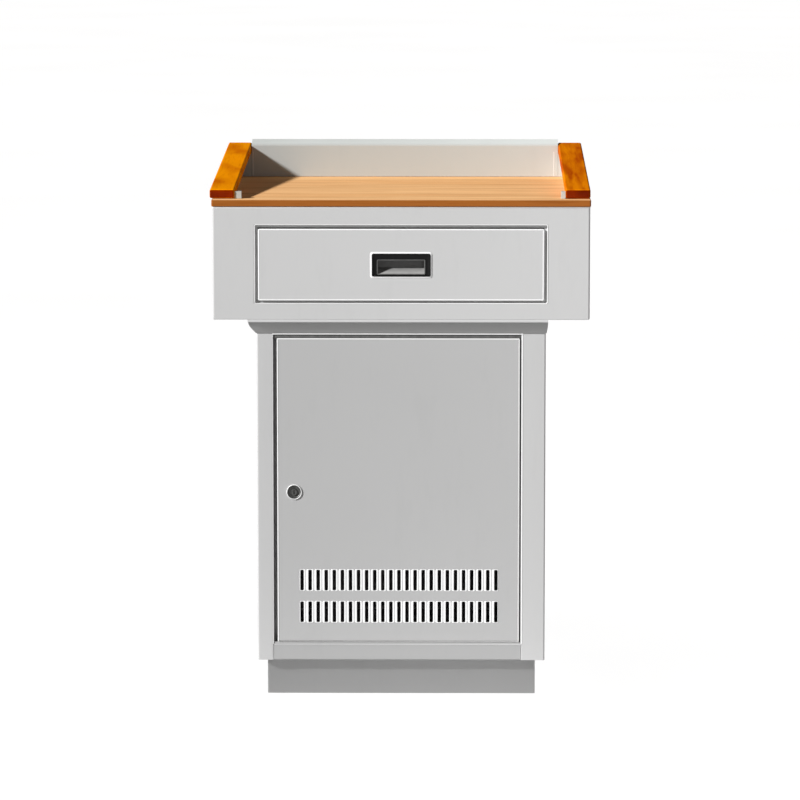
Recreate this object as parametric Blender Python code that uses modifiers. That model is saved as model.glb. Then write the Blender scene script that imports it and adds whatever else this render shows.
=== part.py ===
"""Checkout counter in folded sheet steel with a wooden worktop and wooden armrests.

A wide box with one drawer stands on a narrower cupboard with one slotted door, and the cupboard stands
on a recessed plinth. A low gallery runs round the sides and the back of the worktop.

Metres, +Z up. The front, with the drawer and the door, is at -Y. The origin is on the floor, under the
middle of the counter.
"""

import math

import bmesh
import bpy
from mathutils import Matrix, Vector

# Sheet metal
SHEET = 0.0012
GAP = 0.0003
BEND = 0.0025
SMALL_BEND = 0.0015
BEND_STEPS = 3
ROUND_STEPS = 20

# Heights
CABINET_BOTTOM = 0.058
BOX_BOTTOM = 0.6095
WORKTOP_TOP = 0.800
WORKTOP_THICKNESS = 0.010
WORKTOP_ROUNDING = 0.0012
GALLERY_TOP = 0.863

# Widths and depths, each from the middle of the counter outwards
WORKTOP_HALF = Vector((0.300, 0.250))
BOX_HALF = Vector((0.2988, 0.248))
CABINET_HALF = Vector((0.230, 0.228))
PLINTH_HALF = Vector((0.215, 0.208))
PLINTH_WRAP = 0.018
PLINTH_FOOT = 0.020

# Lower cabinet and its door
LEFT_STILE = 0.026
RIGHT_STILE = 0.039
BOTTOM_RAIL = 0.026
TOP_RAIL = 0.0252
LIP = 0.016
STOP_LIP = 0.0185
STOP_FLANGE = 0.008
HINGE_CLEARANCE = 0.0175
REAR_RETURN = 0.018
PANEL_FLANGE = 0.012
DOOR_LEFT = -0.198
DOOR_RIGHT = 0.189
DOOR_BOTTOM = 0.0878
DOOR_TOP = 0.5779
DOOR_DEPTH = 0.018
DOOR_EDGE = 0.003
PIVOT_INSET = 0.0065
PIN_RADIUS = 0.0025
PIN_HOLE_RADIUS = 0.0028
PIN_HEAD_RADIUS = 0.0045
PIN_HEAD_HEIGHT = 0.0025
PIN_REACH = 0.010
PIN_FOOT = 0.003
STIFFENER_HALF_WIDTH = 0.036
STIFFENER_CROWN_HALF_WIDTH = 0.018
STIFFENER_BOTTOM = 0.225
STIFFENER_TOP = 0.565

# Vent slots in the door
SLOT_COUNT = 25
SLOT_PITCH = 0.01294
SLOT_WIDTH = 0.0057
SLOT_FIRST_X = -0.1588
SLOT_ROWS = ((0.1196, 0.1533), (0.1712, 0.2047))
SLOT_CORNER = 0.0015

# Cam lock in the door
LOCK_X = -0.171
LOCK_Z = 0.3306
LOCK_FACE_RADIUS = 0.010
LOCK_BODY_RADIUS = 0.008
LOCK_BORE_RADIUS = 0.0053
LOCK_FACE_THICKNESS = 0.0017
LOCK_CHAMFER = 0.0004
LOCK_BODY_LENGTH = 0.0195
LOCK_NUT_RADIUS = 0.0125
LOCK_NUT_THICKNESS = 0.003
PLUG_RADIUS = 0.005
PLUG_PROUD = 0.002
KEYWAY_HALF_WIDTH = 0.0008
KEYWAY_HALF_HEIGHT = 0.0032
KEYWAY_DEPTH = 0.006
CAM_REACH = 0.034
CAM_HALF_WIDTH = 0.007
CAM_THICKNESS = 0.002
CAM_SCREW_RADIUS = 0.0018
CAM_SCREW_HEAD_RADIUS = 0.004
CAM_SCREW_HEAD_HEIGHT = 0.0024
CAM_SCREW_REACH = 0.006

# Flared collar between cabinet and box
COLLAR_HEIGHT = 0.0228
COLLAR_REACH = {"front": 0.009, "back": 0.009, "left": 0.0138, "right": 0.0035}
COLLAR_FOOT = 0.0012
COLLAR_STEPS = 10
COLLAR_FULLNESS = 0.6

# Drawer, its opening and its pull
OPENING_HALF_WIDTH = 0.231
OPENING_BOTTOM = 0.6364
OPENING_TOP = 0.7602
OPENING_LIP = 0.0062
OPENING_FLANGE = 0.006
BOX_RETURN = 0.015
BOX_SIDE_FLANGE = 0.020
PANEL_HALF_WIDTH = 0.2265
PANEL_BOTTOM = 0.6405
PANEL_TOP = 0.7542
PANEL_DEPTH = 0.0058
TRAY_HALF_WIDTH = 0.2145
TRAY_BOTTOM = 0.645
TRAY_TOP = 0.735
TRAY_BACK = 0.190
TRAY_FOLD = 0.008
PLATE_CLEARANCE = 0.0018
PULL_HALF_WIDTH = 0.04625
PULL_BOTTOM = 0.679
PULL_TOP = 0.715
PULL_THICKNESS = 0.0017
CUP_HALF_WIDTH = 0.03675
CUP_BOTTOM = 0.6831
CUP_LEDGE = 0.6920
CUP_WINDOW_TOP = 0.7043
CUP_TOP = 0.7120
CUP_DEPTH = 0.0135
CUP_WALL = 0.001
PULL_CORNER = 0.0025
PULL_ROUNDING = 0.0005
PULL_WINDOW_CORNER = 0.0015

# Telescopic slides
SLIDE_FRONT = -0.222
SLIDE_LENGTH = 0.412
SLIDE_Z = 0.690
SLIDE_WALL_X = 0.2280
# Each section's web and the reach of its flanges, from the slide's wall side, and its half height
SLIDE_SECTIONS = {
    "outer": (0.0, 0.0110, 0.0225),
    "middle": (0.0035, 0.0110, 0.0203),
    "inner": (0.0132, 0.0065, 0.0175),
}
BRACKET_FOOT = 0.034
BRACKET_INSET = 0.007

# Bolts that join the box to the cabinet
BOLT_X = 0.180
BOLT_Y = 0.170
BOLT_RADIUS = 0.0029
BOLT_HOLE_RADIUS = 0.0033
BOLT_HEAD_RADIUS = 0.0055
BOLT_HEAD_HEIGHT = 0.004
BOLT_LENGTH = 0.013

# Gallery and armrests
WALL_INNER_X = 0.2725
TIP_INNER_X = 0.2535
GALLERY_BACK_Y = 0.220
GALLERY_FRONT_Y = -0.222
GALLERY_FRONT_EDGE_DROP = 0.0085
ARMREST_WIDTH = 0.0395
ARMREST_FRONT_Y = -0.225
ARMREST_BACK_Y = 0.248
ARMREST_THICKNESS = 0.0147
ARMREST_SLOPE = 0.0867
ARMREST_ROUNDING = 0.003
# Distance of each armrest's outer face from the middle, at the front and at the back: the left one toes in
ARMREST_OUTER_X = {"left": (0.3040, 0.2955), "right": (0.3000, 0.3000)}
# Small upright tab beside each armrest's nose, on a foot that runs under the armrest to the wall
WALL_TIP_HEIGHT = 0.011
WALL_TIP_LENGTH = 0.011
WALL_FOOT = 0.001
WALL_FOOT_LENGTH = 0.015
WALL_FRONT_SEAT = 0.014
GALLERY_BEND = 0.004
WALL_FRONT_BLOCK = 0.050

# Shelf in the cabinet
SHELF_TOP = 0.330
SHELF_FRONT = -0.190
SHELF_BACK = 0.215
SHELF_FLANGE = 0.018
SHELF_SIDE_CLEARANCE = 0.0015
SUPPORT_WIDTH = 0.016
SUPPORT_INSET = 0.006

# How far a cutter reaches past what it cuts
PAST = 0.005
FAR_PAST = 0.010

# Worked out from the sizes above
BOX_TOP = WORKTOP_TOP - WORKTOP_THICKNESS - GAP
CABINET_TOP = BOX_BOTTOM - GAP
DOOR_FRONT = -CABINET_HALF.y
DOOR_PIVOT = Vector((DOOR_RIGHT - PIVOT_INSET, DOOR_FRONT + PIVOT_INSET, 0.0))
OPENING_LEFT = -CABINET_HALF.x + LEFT_STILE
OPENING_RIGHT = CABINET_HALF.x - RIGHT_STILE
STOP_FRONT = DOOR_FRONT + STOP_LIP
PANEL_FRONT = -BOX_HALF.y

FINISHES = {
    "paint": ((0.62, 0.62, 0.61), 0.35, 0.0),
    "plinth_paint": ((0.50, 0.50, 0.49), 0.45, 0.0),
    "board": ((0.72, 0.43, 0.22), 0.40, 0.0),
    "varnish": ((0.70, 0.24, 0.01), 0.15, 0.0),
    "zinc": ((0.60, 0.60, 0.60), 0.30, 1.0),
    "black_plastic": ((0.02, 0.02, 0.02), 0.35, 0.0),
    "cup_metal": ((0.30, 0.30, 0.30), 0.35, 1.0),
    "lock_metal": ((0.45, 0.45, 0.43), 0.25, 1.0),
}


# ---------------------------------------------------------------------------------------------------------
# Scene, collections and finishes
# ---------------------------------------------------------------------------------------------------------

def clear_scene():
    for old in list(bpy.data.objects):
        bpy.data.objects.remove(old, do_unlink=True)


def new_collection(name):
    collection = bpy.data.collections.new(name)
    bpy.context.scene.collection.children.link(collection)
    return collection


clear_scene()
PARTS = new_collection("checkout_counter")
CUTTERS = new_collection("cutters")


def apply_finish(part, finish):
    """Give the part its own Principled material in the named finish."""
    colour, roughness, metallic = FINISHES[finish]
    material = bpy.data.materials.new(f"{part.name}_{finish}")
    material.use_nodes = True
    shader = material.node_tree.nodes["Principled BSDF"]
    shader.inputs["Base Color"].default_value = (*colour, 1.0)
    shader.inputs["Roughness"].default_value = roughness
    shader.inputs["Metallic"].default_value = metallic
    part.data.materials.append(material)


def add_pivot(name, location):
    """An empty on a joint axis, the parent of the pieces that move about it."""
    pivot = bpy.data.objects.new(name, None)
    pivot.location = location
    pivot.empty_display_size = 0.03
    PARTS.objects.link(pivot)
    return pivot


def add_part(name, bm, finish, pivot=None):
    """Make the part's object from the mesh, with its origin at the middle of its box."""
    corners = [vert.co for vert in bm.verts]
    low = Vector(min(corner[i] for corner in corners) for i in range(3))
    high = Vector(max(corner[i] for corner in corners) for i in range(3))
    middle = (low + high) / 2
    bmesh.ops.translate(bm, verts=bm.verts, vec=-middle)
    part = new_object(name, bm, PARTS)
    apply_finish(part, finish)
    place(part, middle, pivot)
    return part


def new_object(name, bm, collection):
    mesh = bpy.data.meshes.new(name)
    bm.to_mesh(mesh)
    bm.free()
    mesh.shade_smooth()
    mesh.set_sharp_from_angle(angle=math.radians(35))
    made = bpy.data.objects.new(name, mesh)
    collection.objects.link(made)
    return made


def world_location(pivot):
    """A pivot's place in the world: its own location plus those of the pivots above it."""
    location = pivot.location.copy()
    if pivot.parent is not None:
        location += world_location(pivot.parent)
    return location


def place(part, location, pivot):
    """Put the part at a place in the world, under its pivot if it has one."""
    part.location = location
    if pivot is not None:
        part.location = Vector(location) - world_location(pivot)
        part.parent = pivot


# ---------------------------------------------------------------------------------------------------------
# Outlines
# ---------------------------------------------------------------------------------------------------------

def signed_area(points):
    """Area of the closed outline, positive when it runs anticlockwise."""
    total = 0.0
    for (x1, y1), (x2, y2) in zip(points, points[1:] + points[:1]):
        total += x1 * y2 - x2 * y1
    return total / 2


def corner_arc(before, corner, after, radius, steps):
    """Points of the arc that rounds a corner between two straight runs."""
    corner = Vector(corner)
    to_before = (Vector(before) - corner).normalized()
    to_after = (Vector(after) - corner).normalized()
    half_angle = to_before.angle(to_after) / 2
    centre = corner + (to_before + to_after).normalized() * radius / math.sin(half_angle)
    start = corner + to_before * radius / math.tan(half_angle) - centre
    end = corner + to_after * radius / math.tan(half_angle) - centre
    sweep = start.angle_signed(end)
    arc = []
    for step in range(steps + 1):
        turned = start.copy()
        turned.rotate(Matrix.Rotation(-sweep * step / steps, 2))
        arc.append(tuple(centre + turned))
    return arc


def rounded_path(points, radius, steps=BEND_STEPS):
    """An open path with its inner corners rounded."""
    path = [tuple(points[0])]
    for before, corner, after in zip(points, points[1:], points[2:]):
        path += corner_arc(before, corner, after, radius, steps)
    path.append(tuple(points[-1]))
    return path


def rounded_rectangle(low, high, radius, steps=BEND_STEPS):
    corners = [(low[0], low[1]), (high[0], low[1]), (high[0], high[1]), (low[0], high[1])]
    outline = []
    for i, corner in enumerate(corners):
        outline += corner_arc(corners[i - 1], corner, corners[(i + 1) % 4], radius, steps)
    return outline


def sheet_outline(path, thickness):
    """Closed outline of a bent sheet whose outer surface follows the path."""
    side = 1 if signed_area(path) > 0 else -1
    runs = [(Vector(b) - Vector(a)).normalized() for a, b in zip(path, path[1:])]
    normals = [Vector((-run.y, run.x)) * side for run in runs]
    inner = []
    for i, point in enumerate(path):
        first = normals[max(i - 1, 0)]
        second = normals[min(i, len(normals) - 1)]
        shift = (first + second) * thickness / (1 + first.dot(second))
        inner.append(tuple(Vector(point) + shift))
    return list(path) + inner[::-1]


def circle_outline(centre, radius, start_degrees=0, end_degrees=360, steps=ROUND_STEPS):
    """Points on an arc; a full circle leaves out the repeated last point."""
    full = end_degrees - start_degrees == 360
    points = []
    for step in range(steps if full else steps + 1):
        angle = math.radians(start_degrees + (end_degrees - start_degrees) * step / steps)
        points.append((centre[0] + radius * math.cos(angle), centre[1] + radius * math.sin(angle)))
    return points


# ---------------------------------------------------------------------------------------------------------
# Solids
# ---------------------------------------------------------------------------------------------------------

def to_space(axis, u, v, w):
    """A point of an outline that is extruded along the axis: u and v are the other two axes in order."""
    if axis == "X":
        return Vector((w, u, v))
    if axis == "Y":
        return Vector((u, w, v))
    return Vector((u, v, w))


def prism(outline, axis, start, end):
    """A closed outline extruded along an axis."""
    bm = bmesh.new()
    face = bm.faces.new([bm.verts.new(to_space(axis, u, v, start)) for u, v in outline])
    grown = bmesh.ops.extrude_face_region(bm, geom=[face])
    moved = [item for item in grown["geom"] if isinstance(item, bmesh.types.BMVert)]
    bmesh.ops.translate(bm, verts=moved, vec=to_space(axis, 0, 0, end - start))
    bmesh.ops.recalc_face_normals(bm, faces=bm.faces)
    return bm


def folded(points, axis, start, end, bend=BEND, thickness=SHEET):
    """A folded sheet: the points are the corners of its outer surface, seen along the axis."""
    return prism(sheet_outline(rounded_path(points, bend), thickness), axis, start, end)


def block(low, high):
    """A box between two corners."""
    bm = bmesh.new()
    bmesh.ops.create_cube(bm, size=1.0)
    low = Vector(low)
    high = Vector(high)
    bmesh.ops.scale(bm, verts=bm.verts, vec=high - low)
    bmesh.ops.translate(bm, verts=bm.verts, vec=(low + high) / 2)
    return bm


def face_towards(bm, direction):
    direction = Vector(direction)
    return max(bm.faces, key=lambda face: face.normal.dot(direction))


def pan(low, high, open_side, window=None):
    """The open surface of a pan: a box without one face.

    If asked it has a window opposite, with a lip turned in round it and a stop flange behind the lip."""
    bm = block(low, high)
    bm.normal_update()
    if window is not None:
        front = face_towards(bm, -Vector(open_side))
        bmesh.ops.inset_individual(bm, faces=[front], thickness=0.01)
        middle = front.calc_center_median()
        for vert in front.verts:
            side = 1 if vert.co.x > middle.x else 0
            level = 1 if vert.co.z > middle.z else 0
            vert.co.x = window[side].x
            vert.co.z = window[level].z
        lips = bmesh.ops.extrude_discrete_faces(bm, faces=[front])["faces"]
        bmesh.ops.translate(bm, verts=lips[0].verts, vec=Vector(open_side) * OPENING_LIP)
        bmesh.ops.inset_individual(bm, faces=lips, thickness=OPENING_FLANGE)
        bmesh.ops.delete(bm, geom=lips, context="FACES")
        bm.normal_update()
    outer_limit = max(face.calc_center_median().dot(Vector(open_side)) for face in bm.faces)
    back = [f for f in bm.faces if abs(f.calc_center_median().dot(Vector(open_side)) - outer_limit) < 1e-6]
    bmesh.ops.delete(bm, geom=back, context="FACES")
    return bm


def rod(radius, axis, start, end, centre, steps=ROUND_STEPS):
    """A cylinder along an axis; the centre is given in the other two axes."""
    bm = bmesh.new()
    turn = {"X": Matrix.Rotation(math.pi / 2, 3, "Y"),
            "Y": Matrix.Rotation(-math.pi / 2, 3, "X"),
            "Z": Matrix.Identity(3)}[axis]
    bmesh.ops.create_cone(bm, cap_ends=True, segments=steps, radius1=radius, radius2=radius,
                          depth=end - start)
    bmesh.ops.rotate(bm, verts=bm.verts, cent=(0, 0, 0), matrix=turn)
    bmesh.ops.translate(bm, verts=bm.verts, vec=to_space(axis, *centre, (start + end) / 2))
    return bm


# ---------------------------------------------------------------------------------------------------------
# Modifiers
# ---------------------------------------------------------------------------------------------------------

def round_edges(part, radius, steps=BEND_STEPS):
    bevel = part.modifiers.new("round_edges", "BEVEL")
    bevel.limit_method = "ANGLE"
    bevel.angle_limit = math.radians(40)
    bevel.width = radius
    bevel.segments = steps
    bevel.use_clamp_overlap = True


def thicken(part, thickness=SHEET):
    """Turn an open surface into a sheet, inwards from its outer side."""
    solidify = part.modifiers.new("sheet", "SOLIDIFY")
    solidify.thickness = thickness
    solidify.offset = -1
    solidify.use_even_offset = True


def cut(part, name, cutter_mesh):
    """Cut a closed shape out of the part."""
    cutter = new_object(f"{part.name}_{name}_cutter", cutter_mesh, CUTTERS)
    cutter.hide_render = True
    cutter.display_type = "WIRE"
    boolean = part.modifiers.new(name, "BOOLEAN")
    boolean.operation = "DIFFERENCE"
    boolean.solver = "EXACT"
    boolean.object = cutter


def drill(part, name, radius, axis, start, end, centre):
    cut(part, name, rod(radius, axis, start, end, centre))


def add_turned(name, profile, axis, centre, finish, pivot=None, ring=False):
    """A turned part. The profile is (radius, height), down its outer side; a ring's profile is closed."""
    bm = bmesh.new()
    verts = [bm.verts.new((radius, 0, height)) for radius, height in profile]
    for a, b in zip(verts, verts[1:]):
        bm.edges.new((a, b))
    if ring:
        bm.edges.new((verts[-1], verts[0]))
    part = new_object(name, bm, PARTS)
    screw = part.modifiers.new("turn", "SCREW")
    screw.axis = "Z"
    screw.steps = ROUND_STEPS
    screw.render_steps = ROUND_STEPS
    screw.use_merge_vertices = True
    screw.merge_threshold = 0.00001
    screw.use_smooth_shade = True
    if axis == "Y":
        part.rotation_euler = (-math.pi / 2, 0, 0)
    apply_finish(part, finish)
    place(part, to_space(axis, *centre, 0), pivot)
    return part


# ---------------------------------------------------------------------------------------------------------
# Plinth and cabinet
# ---------------------------------------------------------------------------------------------------------

SIDES = ((-1, "left"), (1, "right"))


def build_plinth():
    wrap = PLINTH_WRAP
    foot = PLINTH_FOOT
    top = CABINET_BOTTOM - GAP
    x, y = PLINTH_HALF
    for sign, word in ((-1, "front"), (1, "back")):
        corners = [(-x, sign * (y - wrap)), (-x, sign * y), (x, sign * y), (x, sign * (y - wrap))]
        add_part(f"plinth_{word}", folded(corners, "Z", 0, top), "plinth_paint")
    run = y - wrap - GAP
    for sign, word in SIDES:
        corners = [(sign * (x - foot), top), (sign * x, top), (sign * x, 0), (sign * (x - foot), 0)]
        add_part(f"plinth_{word}", folded(corners, "Y", -run, run, SMALL_BEND), "plinth_paint")


def build_cabinet_sides():
    """Sides with their front stiles. The left stile also has the flange that the door closes against."""
    x, y = CABINET_HALF
    stop = [(OPENING_LEFT + STOP_FLANGE, STOP_FRONT), (OPENING_LEFT, STOP_FRONT)]
    lip = [(OPENING_RIGHT, DOOR_FRONT + LIP)]
    for sign, word, opening, edge in ((-1, "left", OPENING_LEFT, stop), (1, "right", OPENING_RIGHT, lip)):
        corners = edge + [(opening, -y), (sign * x, -y), (sign * x, y), (sign * (x - REAR_RETURN), y)]
        add_part(f"cabinet_{word}_side", folded(corners, "Z", CABINET_BOTTOM, CABINET_TOP), "paint")


def build_rails():
    """The rails above and below the door, which carry its pivot pins and the rest of the stop flange."""
    start = OPENING_LEFT + GAP
    end = OPENING_RIGHT - GAP
    stile_flange = OPENING_LEFT + STOP_FLANGE + GAP
    swing = DOOR_PIVOT.x - HINGE_CLEARANCE
    levels = (("bottom", CABINET_BOTTOM, CABINET_BOTTOM + BOTTOM_RAIL, 1),
              ("top", CABINET_TOP, CABINET_TOP - TOP_RAIL, -1))
    for word, far, near, towards_door in levels:
        flange_end = near + towards_door * STOP_FLANGE
        corners = [(DOOR_FRONT + LIP, far), (DOOR_FRONT, far), (DOOR_FRONT, near), (STOP_FRONT, near),
                   (STOP_FRONT, flange_end)]
        rail = add_part(f"cabinet_{word}_rail", folded(corners, "X", start, end), "paint")
        drill(rail, "pin_hole", PIN_HOLE_RADIUS, "Z", near - PAST, near + PAST, DOOR_PIVOT.xy)
        low, high = sorted((near - towards_door * BEND, flange_end + towards_door * PAST))
        behind = STOP_FRONT - BEND
        beyond = behind + FAR_PAST
        cut(rail, "hinge_clearance", block((swing, behind, low), (end + PAST, beyond, high)))
        cut(rail, "stile_clearance", block((start - PAST, behind, low), (stile_flange, beyond, high)))


def joining_bolt_places():
    return [(x, y) for x in (-BOLT_X, BOLT_X) for y in (-BOLT_Y, BOLT_Y)]


def build_cabinet_panels():
    flange = PANEL_FLANGE
    front = STOP_FRONT + SHEET + GAP
    back_panel = CABINET_HALF.y - SHEET - GAP
    back = back_panel - SHEET - GAP
    wall = CABINET_HALF.x - SHEET - GAP
    floor = [(-wall, CABINET_BOTTOM + flange), (-wall, CABINET_BOTTOM), (wall, CABINET_BOTTOM),
             (wall, CABINET_BOTTOM + flange)]
    add_part("cabinet_floor", folded(floor, "Y", front, back, SMALL_BEND), "paint")
    top = [(-wall, CABINET_TOP - flange), (-wall, CABINET_TOP), (wall, CABINET_TOP),
           (wall, CABINET_TOP - flange)]
    top_panel = add_part("cabinet_top_panel", folded(top, "Y", front, back, SMALL_BEND), "paint")
    for i, centre in enumerate(joining_bolt_places()):
        drill(top_panel, f"bolt_hole_{i + 1}", BOLT_HOLE_RADIUS, "Z", CABINET_TOP - PAST, CABINET_TOP + PAST,
              centre)
    clear_of_bends = wall - BEND / 2
    add_part("cabinet_back_panel", block((-clear_of_bends, back_panel - SHEET, CABINET_BOTTOM),
                                         (clear_of_bends, back_panel, CABINET_TOP)), "paint")


def collar_swell(step):
    """How much of its reach the flare has gained at a step, from 0 at its foot to 1 at its top."""
    return 0.5 - 0.5 * math.cos(math.pi * (step / COLLAR_STEPS) ** COLLAR_FULLNESS)


def collar_reach(word, step):
    """How far the moulding on that side of the cabinet stands out at a step."""
    return COLLAR_FOOT + (COLLAR_REACH[word] - COLLAR_FOOT) * collar_swell(step)


def collar_section(word, before, after):
    """Section of a moulding: its reach and height, and its two neighbours' reach at the same height."""
    low = CABINET_TOP - COLLAR_HEIGHT
    section = [(GAP, CABINET_TOP, GAP, GAP), (GAP, low, GAP, GAP)]
    for step in range(COLLAR_STEPS + 1):
        height = low + (COLLAR_HEIGHT - GAP) * step / COLLAR_STEPS
        reach, reach_before, reach_after = (collar_reach(side, step) for side in (word, before, after))
        section.append((reach, height, reach_before, reach_after))
    return section


def build_collar():
    """Four flared mouldings, mitred at the corners."""
    x, y = CABINET_HALF
    sides = (("front", "left", "right", x, y, 0), ("right", "front", "back", y, x, 90),
             ("back", "right", "left", x, y, 180), ("left", "back", "front", y, x, 270))
    for word, before, after, half_length, distance, degrees in sides:
        bm = bmesh.new()
        ends = []
        section = collar_section(word, before, after)
        for sign in (-1, 1):
            verts = []
            for reach, height, reach_before, reach_after in section:
                end = half_length + (reach_before if sign < 0 else reach_after) - GAP
                verts.append(bm.verts.new((sign * end, -distance - reach, height)))
            ends.append(verts)
        for i in range(len(section)):
            j = (i + 1) % len(section)
            bm.faces.new((ends[0][i], ends[0][j], ends[1][j], ends[1][i]))
        for verts in ends:
            bm.faces.new(verts)
        bmesh.ops.recalc_face_normals(bm, faces=bm.faces)
        bmesh.ops.rotate(bm, verts=bm.verts, cent=(0, 0, 0),
                         matrix=Matrix.Rotation(math.radians(degrees), 3, "Z"))
        add_part(f"collar_{word}", bm, "paint")


def build_shelf():
    wall = CABINET_HALF.x - SHEET - GAP
    corners = [(SHELF_FRONT, SHELF_TOP - SHELF_FLANGE), (SHELF_FRONT, SHELF_TOP), (SHELF_BACK, SHELF_TOP),
               (SHELF_BACK, SHELF_TOP - SHELF_FLANGE)]
    half_width = wall - SHELF_SIDE_CLEARANCE
    add_part("shelf", folded(corners, "X", -half_width, half_width), "paint")
    under = SHELF_TOP - SHEET - GAP
    for sign, word in SIDES:
        angle = [(sign * wall, under - SHELF_FLANGE), (sign * wall, under),
                 (sign * (wall - SUPPORT_WIDTH), under)]
        start = SHELF_FRONT + SUPPORT_INSET
        end = SHELF_BACK - SUPPORT_INSET
        add_part(f"shelf_support_{word}", folded(angle, "Y", start, end, SMALL_BEND), "paint")


# ---------------------------------------------------------------------------------------------------------
# Box, worktop, gallery and armrests
# ---------------------------------------------------------------------------------------------------------

def build_box():
    x, y = BOX_HALF
    low = BOX_BOTTOM + GAP
    window = (Vector((-OPENING_HALF_WIDTH, 0, OPENING_BOTTOM)), Vector((OPENING_HALF_WIDTH, 0, OPENING_TOP)))
    front = add_part("box_front_frame", pan((-x, -y, low), (x, -y + BOX_RETURN, BOX_TOP), (0, 1, 0), window),
                     "paint")
    back = add_part("box_back_panel", pan((-x, y - BOX_RETURN, low), (x, y, BOX_TOP), (0, -1, 0)), "paint")
    for part in (front, back):
        round_edges(part, BEND)
        thicken(part)
    run = y - BOX_RETURN - GAP
    for sign, word in SIDES:
        corners = [(sign * (x - BOX_SIDE_FLANGE), BOX_TOP), (sign * x, BOX_TOP), (sign * x, low)]
        add_part(f"box_{word}_side", folded(corners, "Y", -run, run), "paint")
    inside = x - SHEET - GAP
    corners = [(-inside, low + BOX_RETURN), (-inside, low), (inside, low), (inside, low + BOX_RETURN)]
    bottom = add_part("box_bottom_panel", folded(corners, "Y", -run, run, SMALL_BEND), "paint")
    for i, centre in enumerate(joining_bolt_places()):
        drill(bottom, f"bolt_hole_{i + 1}", BOLT_HOLE_RADIUS, "Z", low - PAST, low + PAST, centre)


def build_joining_bolts():
    """Bolts from inside the cabinet, up through its top panel and the box's bottom panel."""
    seat = CABINET_TOP - SHEET - GAP
    tip = seat + BOLT_LENGTH
    head = seat - BOLT_HEAD_HEIGHT
    profile = [(0, tip), (BOLT_RADIUS, tip), (BOLT_RADIUS, seat), (BOLT_HEAD_RADIUS, seat),
               (BOLT_HEAD_RADIUS, head), (0, head)]
    for i, centre in enumerate(joining_bolt_places()):
        add_turned(f"joining_bolt_{i + 1}", profile, "Z", centre, "zinc")


def build_runner_brackets():
    """Angles on the box's bottom panel, which carry the slides."""
    foot = BOX_BOTTOM + GAP + SHEET + GAP
    face = SLIDE_WALL_X + GAP
    for sign, word in SIDES:
        corners = [(sign * (face + BRACKET_FOOT), foot), (sign * face, foot), (sign * face, TRAY_TOP)]
        run = BOX_HALF.y - BOX_RETURN - BRACKET_INSET
        add_part(f"runner_bracket_{word}", folded(corners, "Y", -run, run), "zinc")


def build_worktop():
    x, y = WORKTOP_HALF
    worktop = add_part("worktop", block((-x, -y, WORKTOP_TOP - WORKTOP_THICKNESS), (x, y, WORKTOP_TOP)),
                       "board")
    round_edges(worktop, WORKTOP_ROUNDING, 2)


def armrest_underside(y):
    """Height of the armrest's underside at a depth."""
    return WORKTOP_TOP + GAP + (y - ARMREST_FRONT_Y) * ARMREST_SLOPE


def armrest_outer(word, y):
    """Distance of an armrest's outer face from the middle, at a depth."""
    front, back = ARMREST_OUTER_X[word]
    share = (y - ARMREST_FRONT_Y) / (ARMREST_BACK_Y - ARMREST_FRONT_Y)
    return front + (back - front) * share


def along_armrest(bm, sign, word):
    """Move the mesh sideways, more or less at each depth, so that it runs along the armrest."""
    for vert in bm.verts:
        vert.co.x += sign * armrest_outer(word, vert.co.y)


def wall_corner(word):
    """How far from the middle the back wall's corner with a side wall is: at the armrest's inner face."""
    return armrest_outer(word, WORKTOP_HALF.y) - ARMREST_WIDTH


def build_gallery_side(sign, word):
    """A hollow wall, open below, under the outer part of its armrest, which overhangs it inwards.

    At the back it returns inwards to the back wall. At the front a foot carries a small upright tab."""
    base = WORKTOP_TOP + GAP
    front = GALLERY_FRONT_Y
    back = WORKTOP_HALF.y
    tip_top = armrest_underside(front) + WALL_TIP_HEIGHT
    tip_back = front + WALL_TIP_LENGTH
    profile = [(front, base), (back, base), (back, armrest_underside(back)),
               (tip_back, armrest_underside(tip_back)), (tip_back, tip_top), (front, tip_top)]
    outer = BOX_HALF.x
    low, high = sorted((sign * TIP_INNER_X, sign * outer))
    wall = add_part(f"gallery_{word}_wall", prism(profile, "X", low, high), "paint")

    seat_front = front + WALL_FRONT_SEAT
    beyond = back + FAR_PAST
    under = base - FAR_PAST
    above = base + GALLERY_TOP - WORKTOP_TOP
    ahead = front - FAR_PAST
    seat = [(ahead, under), (seat_front, under), (seat_front, armrest_underside(seat_front) - GAP),
            (beyond, armrest_underside(beyond) - GAP), (beyond, above), (ahead, above)]
    seat_mesh = prism(seat, "X", *sorted((-sign * (ARMREST_WIDTH + GAP), sign * FAR_PAST)))
    along_armrest(seat_mesh, sign, word)
    cut(wall, "armrest_seat", seat_mesh)

    foot_top = base + WALL_FOOT
    foot_back = tip_back + WALL_FOOT_LENGTH
    beside_tip = [(tip_back, foot_top), (foot_back, foot_top), (foot_back, under), (GALLERY_BACK_Y, under),
                  (GALLERY_BACK_Y, above), (tip_back, above)]
    low, high = sorted((sign * (TIP_INNER_X - PAST), sign * WALL_INNER_X))
    cut(wall, "overhang", prism(beside_tip, "X", low, high))

    roof = GAP + SHEET
    hollow_front = front + WALL_FRONT_BLOCK
    hollow_back = back - SHEET
    hollow = [(hollow_front, under), (hollow_back, under),
              (hollow_back, armrest_underside(hollow_back) - roof),
              (hollow_front, armrest_underside(hollow_front) - roof)]
    low, high = sorted((sign * (WALL_INNER_X + SHEET), sign * (outer - SHEET)))
    cut(wall, "hollow", prism(hollow, "X", low, high))

    low, high = sorted((sign * (TIP_INNER_X - PAST), sign * wall_corner(word)))
    cut(wall, "corner", block((low, GALLERY_BACK_Y - GAP, under), (high, beyond, above)))


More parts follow.
